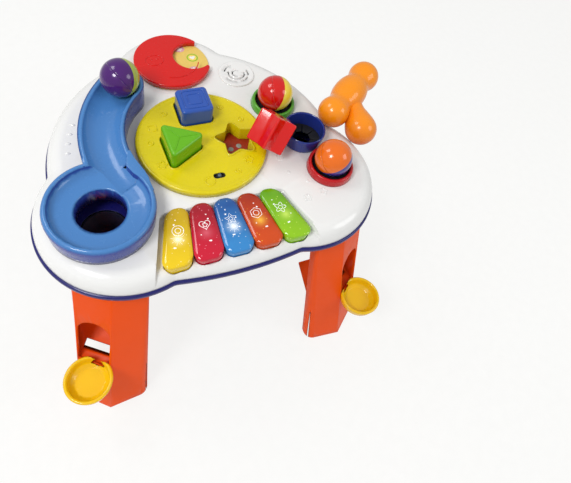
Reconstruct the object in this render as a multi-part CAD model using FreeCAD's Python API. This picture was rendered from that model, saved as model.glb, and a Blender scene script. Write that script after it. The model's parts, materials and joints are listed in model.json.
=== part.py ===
import FreeCAD, Part
import math
import os
from FreeCAD import Vector

# Musical activity table for floor or standing play. Millimetres, +Z up, the feet stand on z = 0.
# Plan coordinates are laid out from the centre of the round sorter disc.

# Driving dimensions
DECK = 282.0                 # height of the play deck above the floor
BALL_R = 25.0                # play ball radius, above the small ball limit for infants
WALL = 3.0                   # moulded wall
EASE = 0.3                   # clearance between a moving piece and its guide

# Table outline in plan
SIDE_R = 196.5               # long side arcs, about the sorter disc
LOBE_X, LOBE_Y, LOBE_R = 115.0, -69.0, 107.5
HEAD_Y, HEAD_R = 136.5, 92.0
FRONT_R, FRONT_Y = 500.0, -178.0
NOTCH_BLEND = 16.0
RIM_Z = DECK - 24.0          # parting line of the white shell and the navy base
EDGE_ROUND, BAY_EDGE_ROUND = 22.0, 13.0
BASE_Z = DECK - 33.0         # underside of the base
BASE_ROUND = 5.0
BASE_TOP = BASE_Z + WALL

# Key bay and keys
BAY_DROP = 9.0
BAY_FAR_Y, BAY_FAR_HALF, BAY_NEAR_HALF = -93.0, 80.0, 102.0
KEY_COUNT = 5
KEY_FAR_Y, KEY_NEAR_Y = -98.0, -167.0
KEY_FAR_PITCH, KEY_NEAR_PITCH = 29.5, 38.5
KEY_FAR_WIDTH, KEY_NEAR_WIDTH = 26.5, 35.5
KEY_TOP = DECK + 2.0
KEY_SKIRT = DECK - 19.0
KEY_CORNER, KEY_CROWN = 10.0, 6.5
KEY_PIVOT_Y, KEY_PIVOT_Z = -106.0, DECK - 15.0
KEY_PIN_R = 1.5
KEY_TRAVEL, KEY_DOME_Y, KEY_LAMP_Y = 4.2, -158.0, -130.0

# Sorter disc
DISC_R, DISC_TOP = 86.5, DECK + 9.0
DISC_STEP_R, DISC_STEP = 78.0, 1.6
POCKET_FLOOR = DECK - 10.0
POCKET_SKIRT = DECK - 17.0
SQUARE_X, SQUARE_Y, SQUARE_SIDE, SQUARE_CORNER = 2.0, 50.0, 46.0, 7.0
TRIANGLE = ((-54.0, 21.0), (-51.0, -41.0), (3.0, -10.0))
TRIANGLE_CORNER = 6.0
STAR_X, STAR_Y, STAR_R, STAR_WAIST, STAR_CORNER = 44.5, -8.0, 31.0, 17.5, 3.5
BLOCK_HEIGHT = 44.0
BLOCK_PLAY = 1.2             # gap between a block and its pocket wall
PLATE_TRAVEL = 3.0

# Spinner and its picture disc
SPIN_X, SPIN_Y, SPIN_R = 0.0, 156.0, 55.5
PICTURE_R, PICTURE_T = 53.5, 2.4
SPIN_LIFT, SPIN_T = 3.2, 7.0
BITE_X, BITE_Y, BITE_R = 31.0, 4.0, 28.0
SPIN_PIN_R = 4.0

# Ball slide and bowl
BOWL_X, BOWL_Y, BOWL_R, BOWL_H = -144.0, -80.5, 63.0, 28.0
BOWL_HOLE_R, BOWL_HOLE_Z = 29.0, 13.5
TRACK_R, TRACK_HALF = 125.0, 28.0
TRACK_START, TRACK_END = 132.0, 195.0
TRACK_FALL = 4.0             # degrees
TRACK_BORE = 26.0
TRACK_FLOOR = 14.0

# Ball rings: centre, outer radius at the foot, outer radius at the top, height
RINGS = {
    "green": (121.0, 49.5, 32.5, 31.0, 9.0),
    "blue": (139.0, -19.5, 28.0, 29.5, 22.0),
    "red": (156.0, -78.5, 32.0, 31.0, 11.0),
}
RING_BORE = 26.3
RING_SEAT = 1.2              # how far a ring overlaps the edge of its hole in the deck
GRIP_HOLE_R, GRIP_T = 12.0, 2.0
DROP_R = 28.0                # holes in the base that the balls fall through

# Speaker
SPEAKER_X, SPEAKER_Y, SPEAKER_R = 88.0, 119.0, 27.0

# Legs and catch cups, right-hand leg; the left-hand one is its mirror image
LEG_TOP = ((109.0, -166.0), (152.0, -161.0), (191.0, -136.0), (191.0, -96.0), (112.0, -106.0))
LEG_FOOT = ((130.0, -221.0), (188.0, -226.0), (226.0, -194.0), (217.0, -150.0), (134.0, -166.0))
LEG_CREASE_TOP, LEG_CREASE_FOOT = 3.0, 14.0
LEG_WALL = 3.5
LEG_CAP = 5.0                # closed top of a leg
BACK_LEG_TURN = 158.0        # degrees from the right-hand leg to the one at the head
PLUG = ((116.0, -152.0), (150.0, -149.0), (178.0, -132.0), (172.0, -118.0), (118.0, -121.0))
PLUG_H = 16.0
CUP_X, CUP_Y, CUP_R, CUP_TOP, CUP_DEEP = 203.0, -208.0, 31.0, 108.0, 19.0
CUP_WALL = 4.0
WINDOW_W, WINDOW_LOW, WINDOW_HIGH = 44.0, 94.0, 182.0
RAMP_TILT, RAMP_T = 24.0, 3.0

# Gutters under the base that lead the balls into the hollow front legs
GUTTER_R, GUTTER_WALL, GUTTER_END_Y = 27.0, 2.5, -98.0
GUTTER_DEEP, GUTTER_REACH = 56.0, 30.0
RIGHT_GUTTER = [RINGS["green"][:2], RINGS["blue"][:2], RINGS["red"][:2], (152.0, -122.0)], 4.2
LEFT_GUTTER = [(BOWL_X, BOWL_Y), (-151.0, -122.0)], 6.0

# Balls in play and the hammer
SLIDE_BALL = (-85.6, 91.2, DECK + 48.2)
RING_BALL_Z = DECK + 22.2    # balls that rest on the fingered washers
STAR_BLOCK_POSE = {"centre": (84.0, -27.0, DECK + 35.7), "azimuth": 36.0, "lift": 48.0, "roll": 36.0}
HAMMER_TIP_A = (193.0, 0.0, DECK + 20.5)
HAMMER_TIP_B = (265.0, 51.0, DECK + 27.5)
HAMMER_BUTT = (224.5, -32.5, DECK + 11.5)
HAMMER_BULB_R, HAMMER_WAIST_R, HANDLE_NECK_R = 22.5, 20.0, 12.0

# Inner works
BOARD_Z, BOARD_T = DECK - 27.0, 1.6
BOARD_HALF_X, BOARD_HALF_Y, BOARD_Y = 66.0, 50.0, 2.0
BOARD_POSTS = [(x, y) for x in (-58.0, 58.0) for y in (-40.0, 44.0)]
DOME_H, LAMP_H = 3.0, 9.0
KEY_BOARD_Z = BASE_TOP + 2.0
SWITCH_X, SWITCH_Y, SWITCH_HALF, SWITCH_R = 5.0, -60.0, 3.5, 4.5
SCREW_PLACES = ((-120.0, 116.0), (122.0, 112.0), (-178.0, 10.0), (178.0, 10.0), (-100.0, -163.0), (100.0, -163.0))
SCREW_BORE, BOSS_R, BOSS_DEEP = 1.6, 4.5, 16.0

# Battery compartment, between the head leg and the sorter
BATTERY_X, BATTERY_Y = 0.0, 112.0
BATTERY_HALF_X, BATTERY_HALF_Y = 30.0, 27.0
BATTERY_R, BATTERY_LENGTH = 7.2, 50.0
BATTERY_TOP = BASE_TOP + 2 * BATTERY_R + 6.0


def disc(x, y, z, radius, height):
    return Part.makeCylinder(radius, height, Vector(x, y, z))


def slab(x0, x1, y0, y1, z0, z1):
    return Part.makeBox(x1 - x0, y1 - y0, z1 - z0, Vector(x0, y0, z0))


def prism(points, z0, z1):
    corners = [Vector(x, y, z0) for x, y in points]
    face = Part.Face(Part.makePolygon(corners + corners[:1]))
    return face.extrude(Vector(0, 0, z1 - z0))


def upright(shape):
    """Edges of a shape that run straight up."""
    found = []
    for edge in shape.Edges:
        ends = edge.Vertexes
        if len(ends) == 2 and abs(ends[0].X - ends[1].X) < 1e-4 and abs(ends[0].Y - ends[1].Y) < 1e-4:
            found.append(edge)
    return found


def level(shape, z):
    """Edges of a shape that lie at height z."""
    return [edge for edge in shape.Edges
            if abs(edge.BoundBox.ZMin - z) < 1e-3 and abs(edge.BoundBox.ZMax - z) < 1e-3]


def round_prism(points, z0, z1, corner):
    body = prism(points, z0, z1)
    return body.makeFillet(corner, upright(body))


def grown(shape, distance, z0, z1):
    """A prism on the plan outline of an upright shape, grown or shrunk sideways."""
    bottom = min(shape.Faces, key=lambda face: face.CenterOfMass.z)
    wire = bottom.OuterWire.makeOffset2D(distance, 0, False, False)
    wire.translate(Vector(0, 0, z0 - wire.BoundBox.ZMin))
    return Part.Face(wire).extrude(Vector(0, 0, z1 - z0))


def turned(points, x=0.0, y=0.0):
    """A solid of revolution about an upright axis; points are (radius, z)."""
    corners = [Vector(r, 0, z) for r, z in points]
    face = Part.Face(Part.makePolygon(corners + corners[:1]))
    body = face.revolve(Vector(0, 0, 0), Vector(0, 0, 1), 360)
    body.translate(Vector(x, y, 0))
    return body


def fused(parts):
    body = parts[0]
    if len(parts) > 1:
        body = body.fuse(parts[1:])
    return body.removeSplitter()


def group(solids):
    return Part.makeCompound(solids)


# Table shells

def outline_body(inset, z0, z1):
    """Plan outline of the table: a head, two side arcs, two front lobes and a shallow front."""
    def plug(x, y, radius):
        return disc(x, y, z0, radius - inset, z1 - z0)

    side = plug(0, 0, SIDE_R)
    below = slab(-SIDE_R, SIDE_R, -SIDE_R, LOBE_Y, z0, z1)
    side = side.cut(below)
    front = plug(0, FRONT_Y + FRONT_R, FRONT_R)
    front = front.common(slab(-LOBE_X, LOBE_X, -SIDE_R, LOBE_Y, z0, z1))
    lobes = [plug(side_x * LOBE_X, LOBE_Y, LOBE_R) for side_x in (-1, 1)]
    head = plug(0, HEAD_Y, HEAD_R)
    body = fused([side, front, head] + lobes)
    return body.makeFillet(NOTCH_BLEND + inset, upright(body))


def domed(inset, top, edge_round, bottom):
    body = outline_body(inset, bottom, top)
    return body.makeFillet(edge_round, level(body, top))


def bay_block(z0, z1, grow=0.0):
    """The fan-shaped bay that the keys lie in, open to the front."""
    near_y = FRONT_Y - 40.0
    slope = (BAY_NEAR_HALF - BAY_FAR_HALF) / (BAY_FAR_Y - KEY_NEAR_Y)
    near_half = BAY_FAR_HALF + slope * (BAY_FAR_Y - near_y)
    points = ((-BAY_FAR_HALF - grow, BAY_FAR_Y + grow), (BAY_FAR_HALF + grow, BAY_FAR_Y + grow),
              (near_half + grow, near_y), (-near_half - grow, near_y))
    body = prism(points, z0, z1)
    far_edges = [edge for edge in upright(body) if edge.Vertexes[0].Y > near_y + 1]
    return body.makeFillet(10.0 + grow, far_edges)


def key_points(index, grow=0.0):
    place = index - (KEY_COUNT - 1) / 2.0
    far_x, near_x = place * KEY_FAR_PITCH, place * KEY_NEAR_PITCH
    far_half, near_half = KEY_FAR_WIDTH / 2 + grow, KEY_NEAR_WIDTH / 2 + grow
    return ((far_x - far_half, KEY_FAR_Y + grow), (far_x + far_half, KEY_FAR_Y + grow),
            (near_x + near_half, KEY_NEAR_Y - grow), (near_x - near_half, KEY_NEAR_Y - grow))


def key_angle(index):
    place = index - (KEY_COUNT - 1) / 2.0
    run = place * (KEY_NEAR_PITCH - KEY_FAR_PITCH)
    return math.degrees(math.atan2(run, KEY_FAR_Y - KEY_NEAR_Y))


def key_pivot(index):
    place = index - (KEY_COUNT - 1) / 2.0
    share = (KEY_FAR_Y - KEY_PIVOT_Y) / (KEY_FAR_Y - KEY_NEAR_Y)
    x = place * (KEY_FAR_PITCH + share * (KEY_NEAR_PITCH - KEY_FAR_PITCH))
    return Vector(x, KEY_PIVOT_Y, KEY_PIVOT_Z)


def square_prism(z0, z1, grow=0.0):
    half = SQUARE_SIDE / 2 + grow
    points = ((SQUARE_X - half, SQUARE_Y - half), (SQUARE_X + half, SQUARE_Y - half),
              (SQUARE_X + half, SQUARE_Y + half), (SQUARE_X - half, SQUARE_Y + half))
    return round_prism(points, z0, z1, SQUARE_CORNER + grow)


def triangle_prism(z0, z1, grow=0.0):
    body = round_prism(TRIANGLE, z0, z1, TRIANGLE_CORNER)
    if grow:
        body = grown(body, grow, z0, z1)
    return body


def star_points(x, y):
    points = []
    for step in range(10):
        radius = STAR_R if step % 2 == 0 else STAR_WAIST
        turn = math.radians(90 + 36 * step)
        points.append((x + radius * math.cos(turn), y + radius * math.sin(turn)))
    return points


def star_prism(z0, z1, grow=0.0):
    body = round_prism(star_points(STAR_X, STAR_Y), z0, z1, STAR_CORNER)
    if grow:
        body = grown(body, grow, z0, z1)
    return body


POCKETS = {"square": square_prism, "triangle": triangle_prism, "star": star_prism}


def leg_plug(grow, z0, z1):
    body = prism(PLUG, z0, z1)
    if grow:
        body = grown(body, grow, z0, z1)
    return body


def mirrored(shape):
    return shape.mirror(Vector(0, 0, 0), Vector(1, 0, 0))


def at_back(shape):
    """Carries a right-hand leg piece to the head of the table."""
    moved = shape.copy()
    moved.translate(Vector(-LOBE_X, -LOBE_Y, 0))
    moved.rotate(Vector(0, 0, 0), Vector(0, 0, 1), BACK_LEG_TURN)
    moved.translate(Vector(0, HEAD_Y + HEAD_R - LOBE_R, 0))
    return moved


def speaker_slots(z0, z1):
    """A spiral of short arcs through the grille."""
    slots = []
    for radius, start, sweep in ((6, 40, 230), (12, 150, 210), (18, 200, 60), (18, 275, 50), (18, 335, 40),
                                 (18, 100, 60)):
        ring = disc(0, 0, z0, radius + 0.9, z1 - z0).cut(disc(0, 0, z0, radius - 0.9, z1 - z0))
        wedge = Part.makeCylinder(radius + 5, z1 - z0, Vector(0, 0, z0), Vector(0, 0, 1), sweep)
        wedge.rotate(Vector(0, 0, 0), Vector(0, 0, 1), start)
        piece = ring.common(wedge)
        piece.translate(Vector(SPEAKER_X, SPEAKER_Y, 0))
        slots.append(piece)
    return slots


def make_top_shell():
    skin_low, skin_high = RIM_Z, DECK
    outer_low = domed(0, DECK - BAY_DROP, BAY_EDGE_ROUND, skin_low)
    outer_high = domed(0, skin_high, EDGE_ROUND, skin_low)
    outer = outer_high.cut(bay_block(DECK - BAY_DROP - 20, DECK + 20)).fuse(outer_low).removeSplitter()
    inner_low = domed(WALL, DECK - BAY_DROP - WALL, BAY_EDGE_ROUND - WALL, skin_low - 1)
    inner_high = domed(WALL, skin_high - WALL, EDGE_ROUND - WALL, skin_low - 1)
    inner = inner_high.cut(bay_block(DECK - BAY_DROP - WALL - 20, DECK + 20, WALL)).fuse(inner_low)
    shell = outer.cut(inner)
    grille = disc(SPEAKER_X, SPEAKER_Y, DECK - WALL, SPEAKER_R, WALL + 2.5)
    grille = grille.makeFillet(2.0, level(grille, DECK + 2.5))
    bosses = [disc(x, y, BASE_TOP, BOSS_R, DECK - BASE_TOP).common(outer.fuse(inner)) for x, y in SCREW_PLACES]
    bosses += [disc(x, y, BASE_TOP, BOSS_R, RIM_Z - BASE_TOP) for x, y in SCREW_PLACES]
    shell = shell.fuse([grille] + bosses)
    openings = speaker_slots(DECK - 10, DECK + 10)
    openings += [disc(x, y, BASE_TOP - 1, SCREW_BORE, BOSS_DEEP) for x, y in SCREW_PLACES]
    openings.append(disc(0, 0, DECK - 10, DISC_STEP_R, 30))
    openings.append(square_prism(DECK - 10, DECK + 20, WALL + EASE))
    openings.append(disc(SPIN_X, SPIN_Y, DECK - 10, SPIN_PIN_R, 30))
    openings.append(disc(BOWL_X, BOWL_Y, DECK - 10, BOWL_HOLE_R + WALL, 30))
    for x, y, foot_r, top_r, height in RINGS.values():
        openings.append(disc(x, y, DECK - 10, RING_BORE + RING_SEAT, 30))
    for index in range(KEY_COUNT):
        slot = round_prism(key_points(index, 0.8), DECK - 30, DECK - BAY_DROP + 1, KEY_CORNER + 0.8)
        openings.append(slot)
    return shell.cut(openings).removeSplitter()


def make_base_shell():
    tray = outline_body(0, BASE_Z, RIM_Z)
    tray = tray.makeFillet(BASE_ROUND, level(tray, BASE_Z))
    hollow = outline_body(WALL, BASE_TOP, RIM_Z + 1)
    shell = tray.cut(hollow)
    sockets, holes = [], []
    for carry in (lambda s: s, mirrored, at_back):
        sockets.append(carry(leg_plug(EASE + 2.4, BASE_Z, BASE_Z + PLUG_H + 2)))
        holes.append(carry(leg_plug(EASE, BASE_Z - 1, BASE_Z + PLUG_H + 3)))
    bosses = [disc(x, y, BASE_TOP - 1, 4.0, BOARD_Z - BASE_TOP + 1) for x, y in BOARD_POSTS]
    shell = shell.fuse(sockets + bosses)
    holes.append(disc(BOWL_X, BOWL_Y, BASE_Z - 1, DROP_R + 1.5, 20))
    for x, y, foot_r, top_r, height in RINGS.values():
        holes.append(disc(x, y, BASE_Z - 1, DROP_R, 20))
    holes.append(battery_well(0, BASE_Z - 1, BASE_TOP + 1))
    holes += [disc(x, y, BASE_Z - 1, SCREW_BORE, 30) for x, y in SCREW_PLACES]
    return shell.cut(holes).removeSplitter()


def battery_well(grow, z0, z1):
    return slab(BATTERY_X - BATTERY_HALF_X - grow, BATTERY_X + BATTERY_HALF_X + grow,
                BATTERY_Y - BATTERY_HALF_Y - grow, BATTERY_Y + BATTERY_HALF_Y + grow, z0, z1)


# Ball slide

def tilt_track(shape):
    shape.rotate(Vector(0, BOWL_Y + 50, DECK + BOWL_H), Vector(1, 0, 0), TRACK_FALL)
    return shape


def track_band(half, top, bottom):
    """The curved gutter's outer body, with a round upper end."""
    height = top - bottom
    ring = disc(0, 0, bottom, TRACK_R + half, height).cut(disc(0, 0, bottom, TRACK_R - half, height))
    wedge = Part.makeCylinder(TRACK_R * 2, height, Vector(0, 0, bottom), Vector(0, 0, 1), TRACK_END - TRACK_START)
    wedge.rotate(Vector(0, 0, 0), Vector(0, 0, 1), TRACK_START)
    turn = math.radians(TRACK_START)
    cap = disc(TRACK_R * math.cos(turn), TRACK_R * math.sin(turn), bottom, half, height)
    return ring.common(wedge).fuse(cap).removeSplitter()


def track_bore(radius):
    """The round trough that a ball rolls in, closed at its upper end."""
    centre_z = DECK + TRACK_FLOOR + TRACK_BORE
    circle = Part.Face(Part.Wire(Part.makeCircle(radius, Vector(TRACK_R, 0, centre_z), Vector(0, 1, 0))))
    trough = circle.revolve(Vector(0, 0, 0), Vector(0, 0, 1), TRACK_END + 14 - TRACK_START)
    trough.rotate(Vector(0, 0, 0), Vector(0, 0, 1), TRACK_START)
    turn = math.radians(TRACK_START)
    end = Part.makeSphere(radius, Vector(TRACK_R * math.cos(turn), TRACK_R * math.sin(turn), centre_z))
    return trough.fuse(end)


def make_ball_slide():
    low = DECK - 8
    band = tilt_track(track_band(TRACK_HALF, DECK + BOWL_H, low))
    band = band.cut(slab(-250, 50, -250, 250, low - 50, DECK))
    bowl = turned(((0, DECK), (BOWL_R - 1.5, DECK), (BOWL_R, DECK + BOWL_H - 5), (BOWL_R - 1.2, DECK + BOWL_H - 1.4),
                   (BOWL_R - 3.5, DECK + BOWL_H), (0, DECK + BOWL_H)), BOWL_X, BOWL_Y)
    tube = disc(BOWL_X, BOWL_Y, DECK - 8, BOWL_HOLE_R + WALL - EASE, 20)
    body = band.fuse([bowl, tube])

    def funnel(drop):
        return turned(((0, DECK + BOWL_HOLE_Z - drop), (BOWL_HOLE_R + 4, DECK + BOWL_HOLE_Z - drop),
                       (BOWL_R - 12, DECK + BOWL_HOLE_Z + 3.5 - drop), (BOWL_R - 7, DECK + BOWL_HOLE_Z + 8 - drop),
                       (BOWL_R - 6 + drop * 0.2, DECK + BOWL_H + 1), (0, DECK + BOWL_H + 1)), BOWL_X, BOWL_Y)

    skin_radius = TRACK_BORE + WALL
    envelope_band = tilt_track(track_band(TRACK_HALF - WALL, DECK + BOWL_H - WALL, low))
    envelope_bowl = disc(BOWL_X, BOWL_Y, low, BOWL_R - 1.5 - WALL, DECK + BOWL_H - WALL - low)
    skins = [tilt_track(track_bore(skin_radius)), funnel(WALL), disc(BOWL_X, BOWL_Y, low - 1, BOWL_HOLE_R + WALL, 40)]
    void = envelope_band.fuse(envelope_bowl).cut(skins)
    void = void.cut(slab(-250, 50, -250, 250, low - 50, low + 1))
    hole = disc(BOWL_X, BOWL_Y, low - 1, BOWL_HOLE_R, 60)
    body = body.cut([void, tilt_track(track_bore(TRACK_BORE)), funnel(0), hole])
    return body.removeSplitter()


# Sorter disc, plates and blocks

def make_sorter_disc():
    top = DISC_TOP
    body = turned(((0, DECK), (DISC_R, DECK), (DISC_R, top - 3), (DISC_R - 0.9, top - 0.9), (DISC_R - 3, top),
                   (DISC_STEP_R, top), (DISC_STEP_R - 2, top - DISC_STEP), (0, top - DISC_STEP)))
    under = disc(0, 0, DECK - 1, DISC_STEP_R - 2, 1 + DISC_TOP - DISC_STEP - DECK - WALL)
    skirts = [shape(POCKET_SKIRT, DISC_TOP - DISC_STEP, WALL) for shape in POCKETS.values()]
    rims = [shape(DISC_TOP - DISC_STEP - 1, DISC_TOP, 2.2) for shape in POCKETS.values()]
    pockets = [shape(POCKET_SKIRT - 1, DISC_TOP + 5) for shape in POCKETS.values()]
    switch = mode_recess(0, DECK - 5, DISC_TOP + 5)
    body = body.cut(under).fuse(skirts + rims).cut(pockets + [switch])
    return body.removeSplitter()


def mode_recess(grow, z0, z1):
    """The oval opening of the mode switch."""
    radius = SWITCH_R + grow
    ends = [disc(SWITCH_X + side * SWITCH_HALF, SWITCH_Y, z0, radius, z1 - z0) for side in (-1, 1)]
    middle = slab(SWITCH_X - SWITCH_HALF, SWITCH_X + SWITCH_HALF, SWITCH_Y - radius, SWITCH_Y + radius, z0, z1)
    return fused(ends + [middle])


def make_pocket_plate(shape):
    plate = shape(POCKET_FLOOR - WALL, POCKET_FLOOR, -EASE - 0.2)
    centre = plate.CenterOfGravity
    stem = disc(centre.x, centre.y, BOARD_Z + BOARD_T + DOME_H + PLATE_TRAVEL + EASE, 4.0,
                POCKET_FLOOR - WALL - BOARD_Z - BOARD_T - DOME_H - PLATE_TRAVEL - EASE)
    return plate.fuse(stem).removeSplitter()


def make_block(shape):
    top = POCKET_FLOOR + BLOCK_HEIGHT
    body = shape(POCKET_FLOOR, top, -BLOCK_PLAY)
    body = body.makeFillet(4.0, level(body, top))
    return body.makeChamfer(1.2, level(body, POCKET_FLOOR))


def make_star_block():
    body = star_prism(0, BLOCK_HEIGHT, -BLOCK_PLAY)
    body = body.makeChamfer(1.5, level(body, BLOCK_HEIGHT) + level(body, 0))
    body.translate(Vector(-STAR_X, -STAR_Y, -BLOCK_HEIGHT / 2))
    pose = STAR_BLOCK_POSE
    body.rotate(Vector(0, 0, 0), Vector(0, 0, 1), pose["roll"])
    body.rotate(Vector(0, 0, 0), Vector(0, 1, 0), 90 - pose["lift"])
    body.rotate(Vector(0, 0, 0), Vector(0, 0, 1), pose["azimuth"])
    body.translate(Vector(*pose["centre"]))
    return body


# Spinner

def make_picture_disc():
    body = disc(SPIN_X, SPIN_Y, DECK, PICTURE_R, PICTURE_T)
    body = body.makeFillet(0.8, level(body, DECK + PICTURE_T))
    return body.cut(disc(SPIN_X, SPIN_Y, DECK - 1, SPIN_PIN_R, 10))


def make_spinner():
    low, high = DECK + SPIN_LIFT, DECK + SPIN_LIFT + SPIN_T
    body = disc(SPIN_X, SPIN_Y, low, SPIN_R, SPIN_T)
    body = body.cut(disc(SPIN_X + BITE_X, SPIN_Y + BITE_Y, low - 1, BITE_R, SPIN_T + 2))
    tips = upright(body)
    body = body.makeFillet(3.0, tips)
    body = body.makeFillet(2.2, level(body, high))
    return body.cut(disc(SPIN_X, SPIN_Y, low - 1, SPIN_PIN_R + 0.06, SPIN_T - 1.5))


def make_spinner_pivot():
    foot = disc(SPIN_X, SPIN_Y, DECK - WALL - 2.5, SPIN_PIN_R + 4, 2.5)
    pin = disc(SPIN_X, SPIN_Y, DECK - WALL - 2.5, SPIN_PIN_R, WALL + 2.5 + SPIN_LIFT + SPIN_T - 3.0)
    return foot.fuse(pin).removeSplitter()


# Rings and balls

def make_ring(x, y, foot_r, top_r, height):
    top = DECK + height
    return turned(((RING_BORE, DECK), (foot_r, DECK), (top_r, top - 2), (top_r - 0.7, top - 0.6), (top_r - 2, top),
                   (RING_BORE + 1.6, top), (RING_BORE + 0.4, top - 0.6), (RING_BORE, top - 2)), x, y)


def make_grip(x, y):
    """A soft fingered washer under each ring, which a ball rests on until it is knocked through."""
    low = DECK - GRIP_T
    body = disc(x, y, low, RING_BORE + RING_SEAT, GRIP_T).cut(disc(x, y, low - 1, GRIP_HOLE_R, GRIP_T + 2))
    slits = []
    for step in range(8):
        slit = slab(GRIP_HOLE_R - 2, RING_BORE - 2, -0.7, 0.7, low - 1, low + GRIP_T + 1)
        slit.rotate(Vector(0, 0, 0), Vector(0, 0, 1), 45 * step + 20)
        slit.translate(Vector(x, y, 0))
        slits.append(slit)
    return body.cut(slits)


def make_ball(centre, tilt, spin):
    """Two hollow halves of a play ball, split along one plane."""
    halves = []
    for side in (1, -1):
        half = Part.makeSphere(BALL_R, Vector(0, 0, 0), Vector(0, 0, 1), 0, 90, 360)
        inner = Part.makeSphere(BALL_R - 2.0, Vector(0, 0, 0), Vector(0, 0, 1), 0, 90, 360)
        half = half.cut(inner)
        if side < 0:
            half.rotate(Vector(0, 0, 0), Vector(1, 0, 0), 180)
        half.rotate(Vector(0, 0, 0), Vector(0, 1, 0), tilt)
        half.rotate(Vector(0, 0, 0), Vector(0, 0, 1), spin)
        half.translate(Vector(*centre))
        halves.append(half)
    return halves


def arc_wire(points):
    """A chain of three-point arcs: end, middle, end, middle, end and so on."""
    edges = []
    for start in range(0, len(points) - 2, 2):
        a, b, c = [Vector(r, 0, z) for r, z in points[start:start + 3]]
        edges.append(Part.Arc(a, b, c).toShape())
    return edges


def spun(edges, start, end):
    """Revolves a chain of edges, closed along the axis, and stands it from start towards end."""
    first, last = edges[0].Vertexes[0].Point, edges[-1].Vertexes[-1].Point
    closing = Part.makeLine(last, first)
    body = Part.Face(Part.Wire(edges + [closing])).revolve(Vector(0, 0, 0), Vector(0, 0, 1), 360)
    along = end - start
    body.rotate(Vector(0, 0, 0), Vector(0, 0, 1).cross(along), math.degrees(Vector(0, 0, 1).getAngle(along)))
    body.translate(start)
    return body


def on_bulb(radius, degrees, centre=0.0):
    """A point of a round end, by its angle above the bulb's equator."""
    return radius * math.cos(math.radians(degrees)), centre + radius * math.sin(math.radians(degrees))


def make_hammer():
    end_a, end_b, butt = Vector(*HAMMER_TIP_A), Vector(*HAMMER_TIP_B), Vector(*HAMMER_BUTT)
    length = (end_b - end_a).Length
    middle = (end_a + end_b) * 0.5
    bulb, waist, neck = HAMMER_BULB_R, HAMMER_WAIST_R, HANDLE_NECK_R
    narrow = waist * 0.82
    lower = [on_bulb(bulb, -90), on_bulb(bulb, -30), on_bulb(bulb, 28), (narrow, bulb * 0.95), (waist * 0.9, length * 0.34)]
    upper = [(r, length - z) for r, z in reversed(lower)]
    head = spun(arc_wire(lower + [(waist, length * 0.5)] + upper), end_a, end_b)
    reach = (butt - middle).Length
    side = [(neck, waist * 0.5), (neck * 0.97, reach * 0.3), (neck * 1.1, reach * 0.48), (neck * 1.45, reach * 0.66),
            on_bulb(bulb, -28, reach), on_bulb(bulb, 20, reach), on_bulb(bulb, 90, reach)]
    foot = Part.makeLine(Vector(0, 0, waist * 0.5), Vector(neck, 0, waist * 0.5))
    handle = spun([foot] + arc_wire(side), middle, butt)
    return head.cut(handle), handle


# Keys

def make_key(index):
    body = round_prism(key_points(index), KEY_SKIRT, KEY_TOP, KEY_CORNER)
    body = body.makeFillet(KEY_CROWN, level(body, KEY_TOP))
    hollow = round_prism(key_points(index, -2.5), KEY_SKIRT - 1, KEY_TOP - 3.0, KEY_CORNER - 2.5)
    pivot = key_pivot(index)
    across = Vector(math.cos(math.radians(key_angle(index))), math.sin(math.radians(key_angle(index))), 0)
    bore = Part.makeCylinder(KEY_PIN_R + 0.05, 60, pivot - across * 30, across)
    return body.cut([hollow, bore])


def make_key_pin(index):
    across = Vector(math.cos(math.radians(key_angle(index))), math.sin(math.radians(key_angle(index))), 0)
    return Part.makeCylinder(KEY_PIN_R, 26, key_pivot(index) - across * 13, across)


def make_key_post(index):
    pivot = key_pivot(index)
    post = slab(-4, 4, -3.2, 3.2, KEY_BOARD_Z, KEY_PIVOT_Z + 3)
    post.rotate(Vector(0, 0, 0), Vector(0, 0, 1), key_angle(index))
    post.translate(Vector(pivot.x, pivot.y, 0))
    return post.cut(make_key_pin(index))


def make_key_rail():
    """The board under the keys with a pivot post for each."""
    plate = prism(((-80, -96), (80, -96), (92, -164), (-92, -164)), BASE_TOP, KEY_BOARD_Z)
    return fused([plate] + [make_key_post(index) for index in range(KEY_COUNT)])


def along_key(index, y):
    """A point on a key's centre line."""
    place = index - (KEY_COUNT - 1) / 2.0
    share = (KEY_FAR_Y - y) / (KEY_FAR_Y - KEY_NEAR_Y)
    return place * (KEY_FAR_PITCH + share * (KEY_NEAR_PITCH - KEY_FAR_PITCH)), y


def make_key_domes():
    """Rubber domes that the keys' skirts press."""
    domes = []
    top = KEY_SKIRT - KEY_TRAVEL - 0.6
    for index in range(KEY_COUNT):
        x, y = along_key(index, KEY_DOME_Y)
        domes.append(turned(((0, KEY_BOARD_Z), (6, KEY_BOARD_Z), (4.5, KEY_BOARD_Z + 2), (3.5, top), (0, top)), x, y))
    return group(domes)


def make_key_lamps():
    lamps = []
    for index in range(KEY_COUNT):
        x, y = along_key(index, KEY_LAMP_Y)
        top = KEY_BOARD_Z + LAMP_H
        lamp = disc(x, y, KEY_BOARD_Z, 2.5, LAMP_H)
        lamps.append(lamp.makeFillet(2.2, level(lamp, top)))
    return group(lamps)


def make_switch_body():
    """The black oval insert that the mode switch slides in."""
    low = DISC_TOP - DISC_STEP - WALL - 2.0
    body = mode_recess(1.5, low, low + 2.0).fuse(mode_recess(-EASE, low, DISC_TOP - DISC_STEP - 1.2))
    slot = mode_recess(-1.6, low - 1, DISC_TOP)
    floor = mode_recess(-1.5, low, low + 1.0)
    return body.cut(slot).fuse(floor).removeSplitter()


def make_switch_knob():
    low = DISC_TOP - DISC_STEP - WALL - 1.0
    knob = disc(SWITCH_X, SWITCH_Y, low, SWITCH_R - 1.9, DISC_TOP - low)
    return knob.makeFillet(1.6, level(knob, DISC_TOP))


# Legs and cups

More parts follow.
